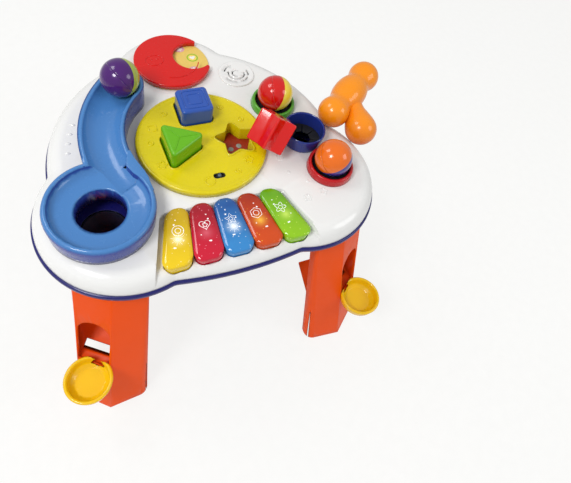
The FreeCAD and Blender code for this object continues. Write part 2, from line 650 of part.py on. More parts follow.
def leg_loft(inset, z0, z1):
    def section(share, z):
        points = [(foot[0] + (top[0] - foot[0]) * share, foot[1] + (top[1] - foot[1]) * share)
                  for foot, top in zip(LEG_FOOT, LEG_TOP)]
        wire = Part.makePolygon([Vector(x, y, z) for x, y in points + points[:1]])
        if inset:
            wire = wire.makeOffset2D(-inset, 2, False, False)
        return wire
    return Part.makeLoft([section(z0 / BASE_Z, z0), section(z1 / BASE_Z, z1)], True, True)


def facet_frame():
    """A point and the outward direction of the outer facet, half way down the catch window."""
    share = 1 - (WINDOW_LOW + WINDOW_HIGH) / 2 / BASE_Z
    ends = []
    for foot, top in ((LEG_FOOT[1], LEG_TOP[1]), (LEG_FOOT[2], LEG_TOP[2])):
        ends.append(Vector(top[0] + (foot[0] - top[0]) * share, top[1] + (foot[1] - top[1]) * share, 0))
    along = ends[1] - ends[0]
    return (ends[0] + ends[1]) * 0.5, math.degrees(math.atan2(along.y, along.x))


def catch_window():
    """The arched opening in the outer facet that a ball leaves by."""
    middle, turn = facet_frame()
    half = WINDOW_W / 2
    body = slab(-half, half, -14, 16, WINDOW_LOW, WINDOW_HIGH - half)
    arch = Part.makeCylinder(half, 30, Vector(0, -14, WINDOW_HIGH - half), Vector(0, 1, 0))
    body = body.fuse(arch)
    body.rotate(Vector(0, 0, 0), Vector(0, 0, 1), turn)
    body.translate(middle)
    return body


def ball_ramp():
    """A sloping floor inside the leg that turns a falling ball out through the window."""
    middle, turn = facet_frame()
    plate = slab(-60, 60, -20, 110, -RAMP_T, 0)
    plate.rotate(Vector(0, 0, 0), Vector(1, 0, 0), RAMP_TILT)
    plate.rotate(Vector(0, 0, 0), Vector(0, 0, 1), turn)
    plate.translate(middle + Vector(0, 0, WINDOW_LOW))
    return plate.common(leg_loft(0, 0, BASE_Z))


def make_leg(with_ramp):
    body = leg_loft(0, 0, BASE_Z)
    creases = [edge for edge in body.Edges if edge.Vertexes[0].Z != edge.Vertexes[1].Z]
    crease = min(creases, key=lambda edge: edge.CenterOfMass.y)
    body = body.makeFillet(LEG_CREASE_FOOT, LEG_CREASE_TOP, [crease])
    hollow = leg_loft(LEG_WALL, -1, BASE_Z - LEG_CAP)
    behind = hollow.copy()
    behind.translate(Vector(-4, 16, 0))
    body = body.cut([hollow, behind])
    if with_ramp:
        body = body.fuse(ball_ramp())
        way_in = gutter(RIGHT_GUTTER, GUTTER_R + GUTTER_WALL + 1, GUTTER_DEEP + GUTTER_WALL + 1)
        body = body.cut([catch_window(), way_in])
    return body.fuse(leg_plug(0, BASE_Z - 1, BASE_Z + PLUG_H)).removeSplitter()


def make_cup():
    body = turned(((0, CUP_TOP - CUP_DEEP), (CUP_R - 9, CUP_TOP - CUP_DEEP), (CUP_R - 2, CUP_TOP - CUP_DEEP + 6),
                   (CUP_R, CUP_TOP - 2), (CUP_R - 1.6, CUP_TOP), (CUP_R - CUP_WALL + 0.6, CUP_TOP),
                   (CUP_R - CUP_WALL - 0.6, CUP_TOP - 1.4), (CUP_R - CUP_WALL - 2, CUP_TOP - CUP_DEEP + 8),
                   (CUP_R - 12, CUP_TOP - CUP_DEEP + WALL), (0, CUP_TOP - CUP_DEEP + WALL)), CUP_X, CUP_Y)
    solid_leg = leg_loft(0, 0, BASE_Z)
    pieces = body.cut(solid_leg).Solids
    return max(pieces, key=lambda piece: piece.Volume)


# Inner works

def gutter(path, half, floor):
    """An upright band along a chain of plan points, rounded below and tipped towards the front."""
    points, fall = path
    low, height = BASE_Z - floor, floor + GUTTER_REACH
    shapes = [disc(x, y, low, half, height) for x, y in points]
    for start, end in zip(points, points[1:]):
        along = Vector(end[0] - start[0], end[1] - start[1], 0)
        side = Vector(-along.y, along.x, 0).normalize() * half
        corners = [Vector(start[0], start[1], low) - side, Vector(end[0], end[1], low) - side,
                   Vector(end[0], end[1], low) + side, Vector(start[0], start[1], low) + side]
        shapes.append(Part.Face(Part.makePolygon(corners + corners[:1])).extrude(Vector(0, 0, height)))
    body = fused(shapes)
    body = body.makeFillet(half * 0.45, level(body, low))
    body.rotate(Vector(0, points[0][1], BASE_Z), Vector(1, 0, 0), fall)
    return body


def make_gutter(path):
    outer = gutter(path, GUTTER_R + GUTTER_WALL, GUTTER_DEEP + GUTTER_WALL)
    inner = gutter(path, GUTTER_R, GUTTER_DEEP)
    above = slab(-250, 250, -250, 250, BASE_Z, BASE_Z + 2 * GUTTER_REACH)
    beyond = slab(-250, 250, -250, GUTTER_END_Y, BASE_Z - 2 * GUTTER_DEEP, BASE_Z + 5)
    return outer.cut([inner, above, beyond]).removeSplitter()


def make_speaker():
    x, y = SPEAKER_X, SPEAKER_Y
    top = DECK - WALL
    return turned(((0, top - 9), (10, top - 9), (22, top - 2.5), (22, top), (25, top), (25, top - 4), (13, top - 14),
                   (13, top - 22), (0, top - 22)), x, y)


def make_main_board():
    board = slab(-BOARD_HALF_X, BOARD_HALF_X, BOARD_Y - BOARD_HALF_Y, BOARD_Y + BOARD_HALF_Y, BOARD_Z, BOARD_Z + BOARD_T)
    return board


def make_pocket_domes():
    domes = []
    for shape in POCKETS.values():
        centre = shape(0, 1).CenterOfGravity
        domes.append(turned(((0, 0), (5, 0), (4, 1), (3, DOME_H), (0, DOME_H)), centre.x, centre.y))
        domes[-1].translate(Vector(0, 0, BOARD_Z + BOARD_T))
    return group(domes)


def make_battery_box():
    top = BATTERY_TOP
    body = battery_well(2.5, BASE_TOP, top).cut(battery_well(0, BASE_TOP - 1, top - 2.5))
    return body


def battery_rows():
    return [(BATTERY_Y + row * (2 * BATTERY_R + 1.4)) for row in (-1, 0, 1)]


def make_batteries():
    z = BASE_TOP + BATTERY_R + 2.0
    cells = []
    for y in battery_rows():
        body = Part.makeCylinder(BATTERY_R, BATTERY_LENGTH - 2, Vector(BATTERY_X - 25, y, z), Vector(1, 0, 0))
        nub = Part.makeCylinder(2.7, 2, Vector(BATTERY_X + 23, y, z), Vector(1, 0, 0))
        cells.append(body.fuse(nub).removeSplitter())
    return group(cells)


def make_battery_contacts():
    z = BASE_TOP + BATTERY_R + 2.0
    plates = []
    for y in battery_rows():
        for x0, x1 in ((-BATTERY_HALF_X, -BATTERY_HALF_X + 0.6), (BATTERY_HALF_X - 0.6, BATTERY_HALF_X)):
            plates.append(slab(x0, x1, y - 5, y + 5, z - 5, z + 5))
    return group(plates)


def make_battery_door():
    door = battery_well(-0.3, BASE_Z, BASE_Z + 2.2)
    return door.cut(disc(BATTERY_X, BATTERY_Y - BATTERY_HALF_Y + 4, BASE_Z - 1, 1.6, 5))


def make_screw(x, y, z, length):
    head = disc(x, y, z - 2.0, 3.2, 2.0)
    return head.fuse(disc(x, y, z, 1.5, length)).removeSplitter()


def build():
    parts = {}
    parts["top_shell"] = make_top_shell()
    parts["base_shell"] = make_base_shell()
    parts["ball_slide"] = make_ball_slide()
    parts["sorter_disc"] = make_sorter_disc()
    for name, shape in POCKETS.items():
        parts["pocket_plate_" + name] = make_pocket_plate(shape)
    parts["block_square"] = make_block(square_prism)
    parts["block_triangle"] = make_block(triangle_prism)
    parts["block_star"] = make_star_block()
    parts["picture_disc"] = make_picture_disc()
    parts["picture_spinner"] = make_spinner()
    parts["spinner_pivot"] = make_spinner_pivot()
    for colour, ring in RINGS.items():
        parts["ring_" + colour] = make_ring(*ring)
        parts["ball_gripper_" + colour] = make_grip(ring[0], ring[1])
    balls = (("purple", "lime", SLIDE_BALL, 62, 20),
             ("red", "yellow", (RINGS["green"][0], RINGS["green"][1], RING_BALL_Z), -70, 160),
             ("orange", "navy", (RINGS["red"][0], RINGS["red"][1], RING_BALL_Z), -40, 130))
    for first, second, centre, tilt, spin in balls:
        halves = make_ball(centre, tilt, spin)
        parts["ball_%s_half" % first] = halves[0]
        parts["ball_%s_half" % second] = halves[1]
    parts["hammer_head"], parts["hammer_handle"] = make_hammer()
    for index, colour in enumerate(("yellow", "red", "blue", "orange", "green")):
        parts["key_" + colour] = make_key(index)
    parts["key_hinge_pins"] = group([make_key_pin(index) for index in range(KEY_COUNT)])
    parts["key_rail"] = make_key_rail()
    leg = make_leg(True)
    cup = make_cup()
    parts["leg_right"] = leg
    parts["leg_left"] = mirrored(leg)
    parts["leg_back"] = at_back(make_leg(False))
    parts["ball_gutter_right"] = make_gutter(RIGHT_GUTTER)
    parts["ball_gutter_left"] = make_gutter(LEFT_GUTTER)
    parts["catch_cup_right"] = cup
    parts["catch_cup_left"] = mirrored(cup)
    parts["speaker_driver"] = make_speaker()
    parts["main_board"] = make_main_board()
    parts["pocket_domes"] = make_pocket_domes()
    parts["battery_box"] = make_battery_box()
    parts["batteries"] = make_batteries()
    parts["battery_contacts"] = make_battery_contacts()
    parts["battery_door"] = make_battery_door()
    parts["door_screw"] = make_screw(BATTERY_X, BATTERY_Y - BATTERY_HALF_Y + 4, BASE_Z, 6)
    parts["shell_screws"] = group([make_screw(x, y, BASE_Z, 14) for x, y in SCREW_PLACES])
    parts["key_domes"] = make_key_domes()
    parts["key_lamps"] = make_key_lamps()
    parts["mode_switch_body"] = make_switch_body()
    parts["mode_switch_knob"] = make_switch_knob()
    return parts


def frame_shift(parts):
    """Moves the origin to the middle of the whole part in plan."""
    box = group(list(parts.values())).optimalBoundingBox(False, False)
    return -(box.XMin + box.XMax) / 2, -(box.YMin + box.YMax) / 2


def write(parts):
    os.makedirs("parts", exist_ok=True)
    shift_x, shift_y = frame_shift(parts)
    for name, shape in parts.items():
        shape.translate(Vector(shift_x, shift_y, 0))
        shape.exportStep("parts/%s.step" % name)


if __name__ == "__main__":
    write(build())
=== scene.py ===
import json
import math

import bpy
from mathutils import Matrix, Vector


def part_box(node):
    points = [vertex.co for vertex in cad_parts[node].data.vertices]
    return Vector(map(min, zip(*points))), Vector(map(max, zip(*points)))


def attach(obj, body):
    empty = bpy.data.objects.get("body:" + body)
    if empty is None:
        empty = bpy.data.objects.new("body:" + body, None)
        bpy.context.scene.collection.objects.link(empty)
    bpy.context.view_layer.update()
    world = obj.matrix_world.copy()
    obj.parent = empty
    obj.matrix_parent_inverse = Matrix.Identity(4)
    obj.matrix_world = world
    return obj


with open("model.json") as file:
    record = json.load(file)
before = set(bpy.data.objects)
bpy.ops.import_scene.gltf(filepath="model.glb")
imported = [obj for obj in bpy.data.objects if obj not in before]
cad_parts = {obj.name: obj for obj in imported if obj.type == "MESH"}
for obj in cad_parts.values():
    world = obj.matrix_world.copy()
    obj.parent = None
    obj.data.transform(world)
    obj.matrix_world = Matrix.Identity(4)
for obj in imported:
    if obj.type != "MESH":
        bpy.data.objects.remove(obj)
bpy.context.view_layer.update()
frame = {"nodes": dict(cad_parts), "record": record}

# The layout, in millimetres, from the middle of the round sorter disc and the floor
MM = 0.001
DECK = 282.0
DISC_LOW, DISC_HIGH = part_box("sorter_disc")
CENTRE = (DISC_LOW + DISC_HIGH) / 2
DISC_TOP = DISC_HIGH.z / MM
DISC_FACE = DISC_TOP - 1.6
KEY_COLOURS = ("yellow", "red", "blue", "orange", "green")
KEY_TOP = DECK + 2.0
KEY_PITCH_FAR, KEY_PITCH_NEAR = 29.5, 38.5
KEY_FAR, KEY_NEAR = -98.0, -167.0

# The photograph's camera, from the middle of the disc at deck height
CAMERA_AZIMUTH, CAMERA_ELEVATION, CAMERA_ROLL = -34.1, 54.7, 16.4
CAMERA_DISTANCE = 636.7
CAMERA_TARGET = (57.3, -103.8)
CAMERA_FOCAL = 500.3          # in pixels of the 571 wide frame
FRAME_WIDTH, FRAME_HEIGHT = 571.0, 483.0
CAMERA_MIDDLE = (268.7, 197.8)
SENSOR = 36.0

SLOT_OF = {part["node"]: part["material_slot"] for part in frame["record"]["subparts"]}


def place(x, y, z):
    """A point of the layout in the frame's metres."""
    return Vector((CENTRE.x + x * MM, CENTRE.y + y * MM, z * MM))


def key_point(index, along, across=0.0):
    """Plan position on a key: along from 0 at its far end to 1 at its near end."""
    column = index - 2
    pitch = KEY_PITCH_FAR + (KEY_PITCH_NEAR - KEY_PITCH_FAR) * along
    lean = math.atan2(column * (KEY_PITCH_NEAR - KEY_PITCH_FAR), KEY_FAR - KEY_NEAR)
    y = KEY_FAR + (KEY_NEAR - KEY_FAR) * along
    return column * pitch + across * math.cos(lean), y + across * math.sin(lean)


# Materials

# The colour sockets of the mix node
MIX_FIRST, MIX_SECOND, MIX_RESULT = 6, 7, 2
# Noise in the plastics, in features to the metre
DRIFT_SCALE, GRAIN_SCALE, RIPPLE_SCALE = 14.0, 120.0, 55.0
RIPPLE_DEPTH, GRAIN_DEPTH = 0.0012, 0.0006
PLASTIC_SPECULAR, LEG_SPECULAR = 0.3, 0.12


class Finish:
    """A node material built around one Principled shader."""

    def __init__(self, name):
        self.material = bpy.data.materials.new(name)
        self.material.use_nodes = True
        self.tree = self.material.node_tree
        self.shader = self.tree.nodes["Principled BSDF"]
        self.coords = self.add("ShaderNodeTexCoord").outputs["Object"]

    def add(self, kind, **settings):
        node = self.tree.nodes.new(kind)
        for key, value in settings.items():
            setattr(node, key, value)
        return node

    def link(self, source, target):
        self.tree.links.new(source, target)

    def feed(self, socket, source):
        """Joins a source to one of the shader's own sockets."""
        self.link(source, self.shader.inputs[socket])

    def fed(self, socket):
        """The source that a socket of the shader already has."""
        return self.shader.inputs[socket].links[0].from_socket

    def noise(self, scale, detail=3.0):
        node = self.add("ShaderNodeTexNoise")
        node.inputs["Scale"].default_value = scale
        node.inputs["Detail"].default_value = detail
        self.link(self.coords, node.inputs["Vector"])
        return node.outputs["Fac"]

    def spread(self, value, low, high, start=0.3, end=0.7):
        """Carries a value's range to low..high."""
        node = self.add("ShaderNodeMapRange")
        for socket, number in (("From Min", start), ("From Max", end), ("To Min", low), ("To Max", high)):
            node.inputs[socket].default_value = number
        self.link(value, node.inputs["Value"])
        return node.outputs["Result"]

    def mix(self, factor, first, second):
        node = self.add("ShaderNodeMix", data_type="RGBA")
        self.link(factor, node.inputs["Factor"])
        for number, colour in ((MIX_FIRST, first), (MIX_SECOND, second)):
            socket = node.inputs[number]
            if isinstance(colour, tuple):
                socket.default_value = (*colour, 1.0)
            else:
                self.link(colour, socket)
        return node.outputs[MIX_RESULT]

    def bump(self, value, strength, distance):
        node = self.add("ShaderNodeBump")
        node.inputs["Strength"].default_value = strength
        node.inputs["Distance"].default_value = distance
        self.link(value, node.inputs["Height"])
        self.feed("Normal", node.outputs["Normal"])

    def set(self, **values):
        for key, value in values.items():
            self.shader.inputs[key.replace("_", " ")].default_value = value


def shade(colour, factor):
    return tuple(min(1.0, channel * factor) for channel in colour)


def plastic(name, colour, roughness=0.22, coat=0.35, mottle=0.05, ripple=0.04):
    """Moulded plastic: a slow drift of tone, low ripples in the face and a fine grain in the gloss."""
    finish = Finish(name)
    drift = finish.noise(DRIFT_SCALE, 2.0)
    tone = finish.mix(drift, shade(colour, 1 - mottle), shade(colour, 1 + mottle))
    finish.feed("Base Color", tone)
    grain = finish.noise(GRAIN_SCALE, 4.0)
    finish.feed("Roughness", finish.spread(grain, roughness - 0.05, roughness + 0.06))
    finish.bump(finish.noise(RIPPLE_SCALE, 2.0), ripple, RIPPLE_DEPTH)
    finish.set(Coat_Weight=coat, Coat_Roughness=0.06, Specular_IOR_Level=PLASTIC_SPECULAR)
    return finish


SEAM = 0.0002                 # half width, in metres, of the line between a ball's two colours
BALL_DRIFT_SCALE = 20.0


def two_tone(name, colour, other, pole, roughness=0.18, coat=0.6):
    """A ball moulded in two colours; the pole points into the other colour's half."""
    finish = plastic(name, colour, roughness, coat)
    along = finish.add("ShaderNodeVectorMath", operation="DOT_PRODUCT")
    middle = finish.add("ShaderNodeVectorMath", operation="SUBTRACT")
    finish.link(finish.coords, middle.inputs[0])
    middle.inputs[1].default_value = BALL_MIDDLE[name]
    finish.link(middle.outputs["Vector"], along.inputs[0])
    along.inputs[1].default_value = pole
    first = finish.fed("Base Color")
    share = finish.spread(along.outputs["Value"], 0.0, 1.0, -SEAM, SEAM)
    tone = finish.mix(finish.noise(BALL_DRIFT_SCALE, 2.0), shade(other, 0.95), shade(other, 1.05))
    finish.feed("Base Color", finish.mix(share, first, tone))
    return finish


def matt(name, colour, roughness=0.6, grain=420.0):
    finish = Finish(name)
    fine = finish.noise(grain, 3.0)
    finish.feed("Base Color", finish.mix(fine, shade(colour, 0.88), shade(colour, 1.1)))
    finish.feed("Roughness", finish.spread(fine, roughness - 0.08, roughness + 0.08))
    finish.bump(fine, 0.15, GRAIN_DEPTH)
    return finish


METAL_GRAIN = 300.0


def metal(name, colour, roughness=0.3):
    finish = matt(name, colour, roughness, METAL_GRAIN)
    finish.set(Metallic=1.0)
    return finish


def glow_distance(finish, x, y, z, radius):
    """1 at the lamp's place, falling to 0 at the radius."""
    measure = finish.add("ShaderNodeVectorMath", operation="DISTANCE")
    finish.link(finish.coords, measure.inputs[0])
    measure.inputs[1].default_value = place(x, y, z)
    return finish.spread(measure.outputs["Value"], 1.0, 0.0, 0.0, radius * MM)


KEY_CLOUD_SCALE, KEY_LIT_GLITTER_SCALE, KEY_GLOSS_SCALE, KEY_RIPPLE_SCALE = 46.0, 190.0, 130.0, 60.0
GLOW_ALONG = 0.52
GLOW_RADIUS, GLOW_FALLOFF = 15.0, 2.2


def key_finish(index, name, colour, far_colour, lit, warm):
    """Clear coloured plastic: dark at the far end, with glitter specks painted in the lamp's light colour
    and a painted glow of the lamp below.
    """
    finish = Finish(name)
    split = finish.add("ShaderNodeSeparateXYZ")
    finish.link(finish.coords, split.inputs["Vector"])
    near_y, far_y = place(0, KEY_NEAR + 12, 0).y, place(0, KEY_FAR - 4, 0).y
    depth = finish.spread(split.outputs["Y"], 0.0, 1.0, near_y, far_y)
    body = finish.mix(depth, colour, far_colour)
    cloud = finish.spread(finish.noise(KEY_CLOUD_SCALE), 0.0, 0.2)
    body = finish.mix(cloud, body, shade(colour, 1.25))
    # Glitter specks, painted in the colour of the lamp's light
    cells = finish.add("ShaderNodeTexVoronoi", feature="F1")
    cells.inputs["Scale"].default_value = KEY_LIT_GLITTER_SCALE
    finish.link(finish.coords, cells.inputs["Vector"])
    speck = finish.spread(cells.outputs["Distance"], 0.75, 0.0, 0.06, 0.16)
    body = finish.mix(speck, body, warm)
    # Painted glow of the lamp below, put into the base colour and the emission
    glow = glow_distance(finish, *key_point(index, GLOW_ALONG), KEY_TOP, GLOW_RADIUS)
    falloff = finish.add("ShaderNodeMath", operation="POWER")
    finish.link(glow, falloff.inputs[0])
    falloff.inputs[1].default_value = GLOW_FALLOFF
    lit_share = finish.spread(falloff.outputs["Value"], 0.0, lit, 0.0, 1.0)
    body = finish.mix(lit_share, body, warm)
    finish.feed("Base Color", body)
    finish.feed("Emission Color", body)
    strength = finish.spread(falloff.outputs["Value"], 0.02, 0.3 * lit, 0.0, 1.0)
    finish.feed("Emission Strength", strength)
    finish.feed("Roughness", finish.spread(finish.noise(KEY_GLOSS_SCALE), 0.08, 0.16))
    finish.bump(finish.noise(KEY_RIPPLE_SCALE, 2.0), 0.04, 0.001)
    finish.set(Coat_Weight=0.6, Coat_Roughness=0.05, Specular_IOR_Level=PLASTIC_SPECULAR)
    return finish


def middle_of(first, second):
    """Middle of a ball from its two halves' boxes."""
    lows, highs = zip(*(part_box(name) for name in (first, second)))
    low = Vector([min(corner[axis] for corner in lows) for axis in range(3)])
    high = Vector([max(corner[axis] for corner in highs) for axis in range(3)])
    return (low + high) / 2


BALL_MIDDLE = {
    "ball purple": middle_of("ball_purple_half", "ball_lime_half"),
    "ball red": middle_of("ball_red_half", "ball_yellow_half"),
    "ball orange": middle_of("ball_orange_half", "ball_navy_half"),
}
WHITE = (0.80, 0.80, 0.785)
NAVY = (0.010, 0.010, 0.13)
SLIDE = (0.062, 0.205, 0.49)
# Painted shade: the deeper blue of the slide's upright walls and the near black down the bowl's hole
SLIDE_WALL_SHADED = (0.022, 0.045, 0.30)
HOLE_SHADOW = (0.006, 0.006, 0.05)
YELLOW = (0.70, 0.58, 0.003)
RED = (0.64, 0.004, 0.002)
PURPLE, LIME = (0.062, 0.006, 0.14), (0.36, 0.44, 0.05)
BALL_RED, BALL_YELLOW = (0.62, 0.005, 0.003), (0.84, 0.66, 0.05)
BALL_ORANGE, BALL_NAVY = (0.80, 0.15, 0.004), (0.03, 0.03, 0.24)


def slide_with_painted_shade():
    """Mid blue on the floors, with painted shade: dark blue on the upright walls and black down the
    bowl's hole.
    """
    finish = plastic("slide blue", SLIDE, 0.24, 0.35, 0.04)
    first = finish.fed("Base Color")
    shape = finish.add("ShaderNodeNewGeometry")
    facing = finish.add("ShaderNodeSeparateXYZ")
    finish.link(shape.outputs["Normal"], facing.inputs["Vector"])
    # Painted shade: the slide's upright walls are darkened to a deeper blue by the way they face
    flat = finish.spread(facing.outputs["Z"], 0.0, 1.0, 0.1, 0.6)
    body = finish.mix(flat, SLIDE_WALL_SHADED, first)
    spot = finish.add("ShaderNodeSeparateXYZ")
    finish.link(finish.coords, spot.inputs["Vector"])
    # Painted shadow: the bowl's hole turns black from here down
    shadow_below, unshadowed_above = (DECK - 2) * MM, (DECK + 9) * MM
    height = finish.spread(spot.outputs["Z"], 0.0, 1.0, shadow_below, unshadowed_above)
    finish.feed("Base Color", finish.mix(height, HOLE_SHADOW, body))
    return finish


# Plastic takes a colour, roughness, coat, mottle and ripple; matt takes a colour, roughness and grain
FINISHES = {
    "white_shell": plastic("shell white", WHITE, 0.22, 0.45, 0.01, 0.015),
    "navy_base": plastic("base navy", NAVY, 0.3, 0.3),
    "slide_blue": slide_with_painted_shade(),
    "disc_yellow": plastic("disc yellow", YELLOW, 0.27, 0.3, 0.05),
    "plate_red": matt("pocket red", (0.30, 0.018, 0.006), 0.45),
    "block_blue": plastic("block blue", (0.022, 0.085, 0.40), 0.2, 0.5),
    "block_green": plastic("block green", (0.12, 0.42, 0.004), 0.24, 0.4),
    "block_red": plastic("block red", (0.68, 0.004, 0.003), 0.18, 0.6),
    "picture_cream": matt("picture cream", (0.78, 0.56, 0.13), 0.4, 260.0),
    "spinner_red": plastic("spinner red", RED, 0.24, 0.4),
    "steel": metal("steel", (0.62, 0.62, 0.64)),
    "ring_green": plastic("ring green", (0.09, 0.36, 0.03), 0.25, 0.35),
    "ring_navy": plastic("ring navy", (0.014, 0.032, 0.24), 0.2, 0.5),
    "ring_crimson": plastic("ring crimson", (0.50, 0.005, 0.008), 0.25, 0.35),
    "soft_black": matt("soft black", (0.003, 0.003, 0.006), 0.7),
    "ball_purple": two_tone("ball purple", PURPLE, LIME, (0.793, 0.448, -0.414)),
    "ball_red": two_tone("ball red", BALL_RED, BALL_YELLOW, (0.941, -0.088, -0.327)),
    "ball_orange": two_tone("ball orange", BALL_ORANGE, BALL_NAVY, (0.513, -0.213, -0.832)),
    "inner_white": matt("inner white", (0.62, 0.62, 0.6), 0.5),
    "leg_orange": plastic("leg orange", (0.86, 0.080, 0.001), 0.36, 0.0, 0.05),
    "cup_yellow": plastic("cup yellow", (0.88, 0.54, 0.004), 0.22, 0.4),
    "speaker_black": matt("speaker black", (0.012, 0.012, 0.012), 0.6),
    "board_green": matt("board green", (0.01, 0.09, 0.03), 0.4),
    "cell_silver": metal("cell silver", (0.42, 0.43, 0.46), 0.4),
    "lamp_clear": plastic("lamp clear", (0.8, 0.78, 0.7), 0.1, 0.6),
    "switch_black": matt("switch black", (0.006, 0.006, 0.007), 0.35),
    "knob_grey": plastic("knob grey", (0.08, 0.11, 0.15), 0.3, 0.3),
}
FINISHES["leg_orange"].set(Specular_IOR_Level=LEG_SPECULAR)
FINISHES["ball_lime"] = FINISHES["ball_purple"]
FINISHES["ball_yellow"] = FINISHES["ball_red"]
FINISHES["ball_navy"] = FINISHES["ball_orange"]
FINISHES["gutter_dark"] = matt("gutter dark", (0.004, 0.004, 0.03), 0.7)

# Each key's colour at its near and far end, how strongly its lamp shows, and the lamp's colour
KEY_TONES = (
    ((0.78, 0.54, 0.003), (0.50, 0.32, 0.002), 0.9, (1.0, 0.9, 0.45)),
    ((0.56, 0.003, 0.028), (0.30, 0.002, 0.012), 0.3, (1.0, 0.35, 0.45)),
    ((0.03, 0.22, 0.54), (0.010, 0.07, 0.28), 0.9, (0.85, 0.96, 1.0)),
    ((0.58, 0.06, 0.002), (0.34, 0.02, 0.002), 0.8, (1.0, 0.62, 0.06)),
    ((0.25, 0.52, 0.005), (0.11, 0.34, 0.003), 0.6, (0.8, 0.95, 0.2)),
)
for index, (near, far, lit, warm) in enumerate(KEY_TONES):
    colour = KEY_COLOURS[index]
    FINISHES["key_" + colour] = key_finish(index, "key " + colour, near, far, lit, warm)


HAMMER_DRIFT_SCALE, HAMMER_GLOSS_SCALE, HAMMER_RIPPLE_SCALE = 26.0, 110.0, 48.0
# Painted shade and light on the hammer: a shaded red-orange below and a lit orange above
HAMMER_SHADED, HAMMER_LIT, HAMMER_PALE = (0.62, 0.06, 0.002), (0.92, 0.28, 0.004), (0.94, 0.34, 0.006)


def hammer_with_painted_shade():
    """Warm orange with painted shade: deep red-orange low down, lighter orange on top."""
    finish = Finish("hammer orange")
    split = finish.add("ShaderNodeSeparateXYZ")
    finish.link(finish.coords, split.inputs["Vector"])
    # Painted shade: the orange darkens towards the bottom and lightens towards the top
    bottom, top = (DECK - 6) * MM, (DECK + 36) * MM
    height = finish.spread(split.outputs["Z"], 0.0, 1.0, bottom, top)
    base = finish.mix(height, HAMMER_SHADED, HAMMER_LIT)
    drift = finish.spread(finish.noise(HAMMER_DRIFT_SCALE), 0.0, 0.3)
    finish.feed("Base Color", finish.mix(drift, base, HAMMER_PALE))
    finish.feed("Roughness", finish.spread(finish.noise(HAMMER_GLOSS_SCALE), 0.2, 0.32))
    finish.bump(finish.noise(HAMMER_RIPPLE_SCALE, 2.0), 0.05, 0.001)
    finish.set(Coat_Weight=0.4, Coat_Roughness=0.08, Specular_IOR_Level=PLASTIC_SPECULAR)
    return finish


FINISHES["hammer_orange"] = hammer_with_painted_shade()


def dress(obj, look):
    """Gives a piece one of the looks; its slot isn't changed."""
    obj.data.materials.clear()
    obj.data.materials.append(FINISHES[look].material)


SMOOTH_ANGLE = math.radians(28)
DOME_SHARP, CAP_SHARP = math.radians(60), math.radians(50)
WELD_DISTANCE, FACE_WEIGHT = 0.00001, 80
for name, node in frame["nodes"].items():
    dress(node, SLOT_OF[name])
    node.data.shade_smooth()
    weld = node.modifiers.new("weld", "WELD")
    weld.merge_threshold = WELD_DISTANCE
    node.data.set_sharp_from_angle(angle=SMOOTH_ANGLE)
    even = node.modifiers.new("even shading", "WEIGHTED_NORMAL")
    even.keep_sharp, even.weight = True, FACE_WEIGHT
for name in ("ball_gutter_left", "ball_gutter_right"):
    dress(frame["nodes"][name], "gutter_dark")


# Small raised work on the plastic

SUNK, DEEP_SUNK = 0.1, 0.2    # how far the foot of a bump lies below its face


def on_table(obj, slot, body="table"):
    dress(obj, slot)
    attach(obj, body)
    return obj


def add_mesh(name, vertices, faces):
    mesh = bpy.data.meshes.new(name)
    mesh.from_pydata(vertices, [], faces)
    mesh.shade_smooth()
    obj = bpy.data.objects.new(name, mesh)
    bpy.context.scene.collection.objects.link(obj)
    return obj


def bead(name, points, radius, slot, body="table", closed=True):
    """A round raised line through points of the layout."""
    curve = bpy.data.curves.new(name, "CURVE")
    curve.dimensions = "3D"
    curve.bevel_depth = radius * MM
    curve.bevel_resolution = 3
    curve.use_fill_caps = True
    spline = curve.splines.new("POLY")
    spline.points.add(len(points) - 1)
    for target, point in zip(spline.points, points):
        target.co = (*place(*point), 1.0)
    spline.use_cyclic_u = closed
    drawn = bpy.data.objects.new(name + "_line", curve)
    mesh = bpy.data.meshes.new_from_object(drawn)
    bpy.data.objects.remove(drawn)
    bpy.data.curves.remove(curve)
    obj = bpy.data.objects.new(name, mesh)
    bpy.context.scene.collection.objects.link(obj)
    return on_table(obj, slot, body)


def dome(name, x, y, z, radius, height, slot, body="table", squash=1.0, turn=0.0):
    """A low round or oval bump, closed below."""
    rings, sides = 6, 28
    vertices, faces = [], []
    for ring in range(rings):
        angle = math.pi / 2 * ring / rings
        for side in range(sides):
            around = 2 * math.pi * side / sides
            dx = radius * math.cos(angle) * math.cos(around)
            dy = radius * math.cos(angle) * math.sin(around) * squash
            spun_x = dx * math.cos(turn) - dy * math.sin(turn)
            spun_y = dx * math.sin(turn) + dy * math.cos(turn)
            vertices.append(place(x + spun_x, y + spun_y, z + height * math.sin(angle)))
    vertices.append(place(x, y, z + height))
    for ring in range(rings - 1):
        for side in range(sides):
            a, b = ring * sides + side, ring * sides + (side + 1) % sides
            faces.append((a, b, b + sides, a + sides))
    top = len(vertices) - 1
    last = (rings - 1) * sides
    faces += [(last + side, last + (side + 1) % sides, top) for side in range(sides)]
    faces.append(tuple(reversed(range(sides))))
    obj = add_mesh(name, vertices, faces)
    obj.data.set_sharp_from_angle(angle=DOME_SHARP)
    return on_table(obj, slot, body)


def tablet(name, outline, z0, z1, slot, body="table", edge=0.6):
    """A flat raised shape with rounded edges; outline is in plan."""
    count = len(outline)
    vertices = [place(x, y, z) for z in (z0, z1) for x, y in outline]
    faces = [tuple(reversed(range(count))), tuple(range(count, 2 * count))]
    faces += [(i, (i + 1) % count, count + (i + 1) % count, count + i) for i in range(count)]
    obj = add_mesh(name, vertices, faces)
    bevel = obj.modifiers.new("edge", "BEVEL")
    bevel.width, bevel.segments, bevel.limit_method = edge * MM, 3, "ANGLE"
    return on_table(obj, slot, body)


# Outlines in plan

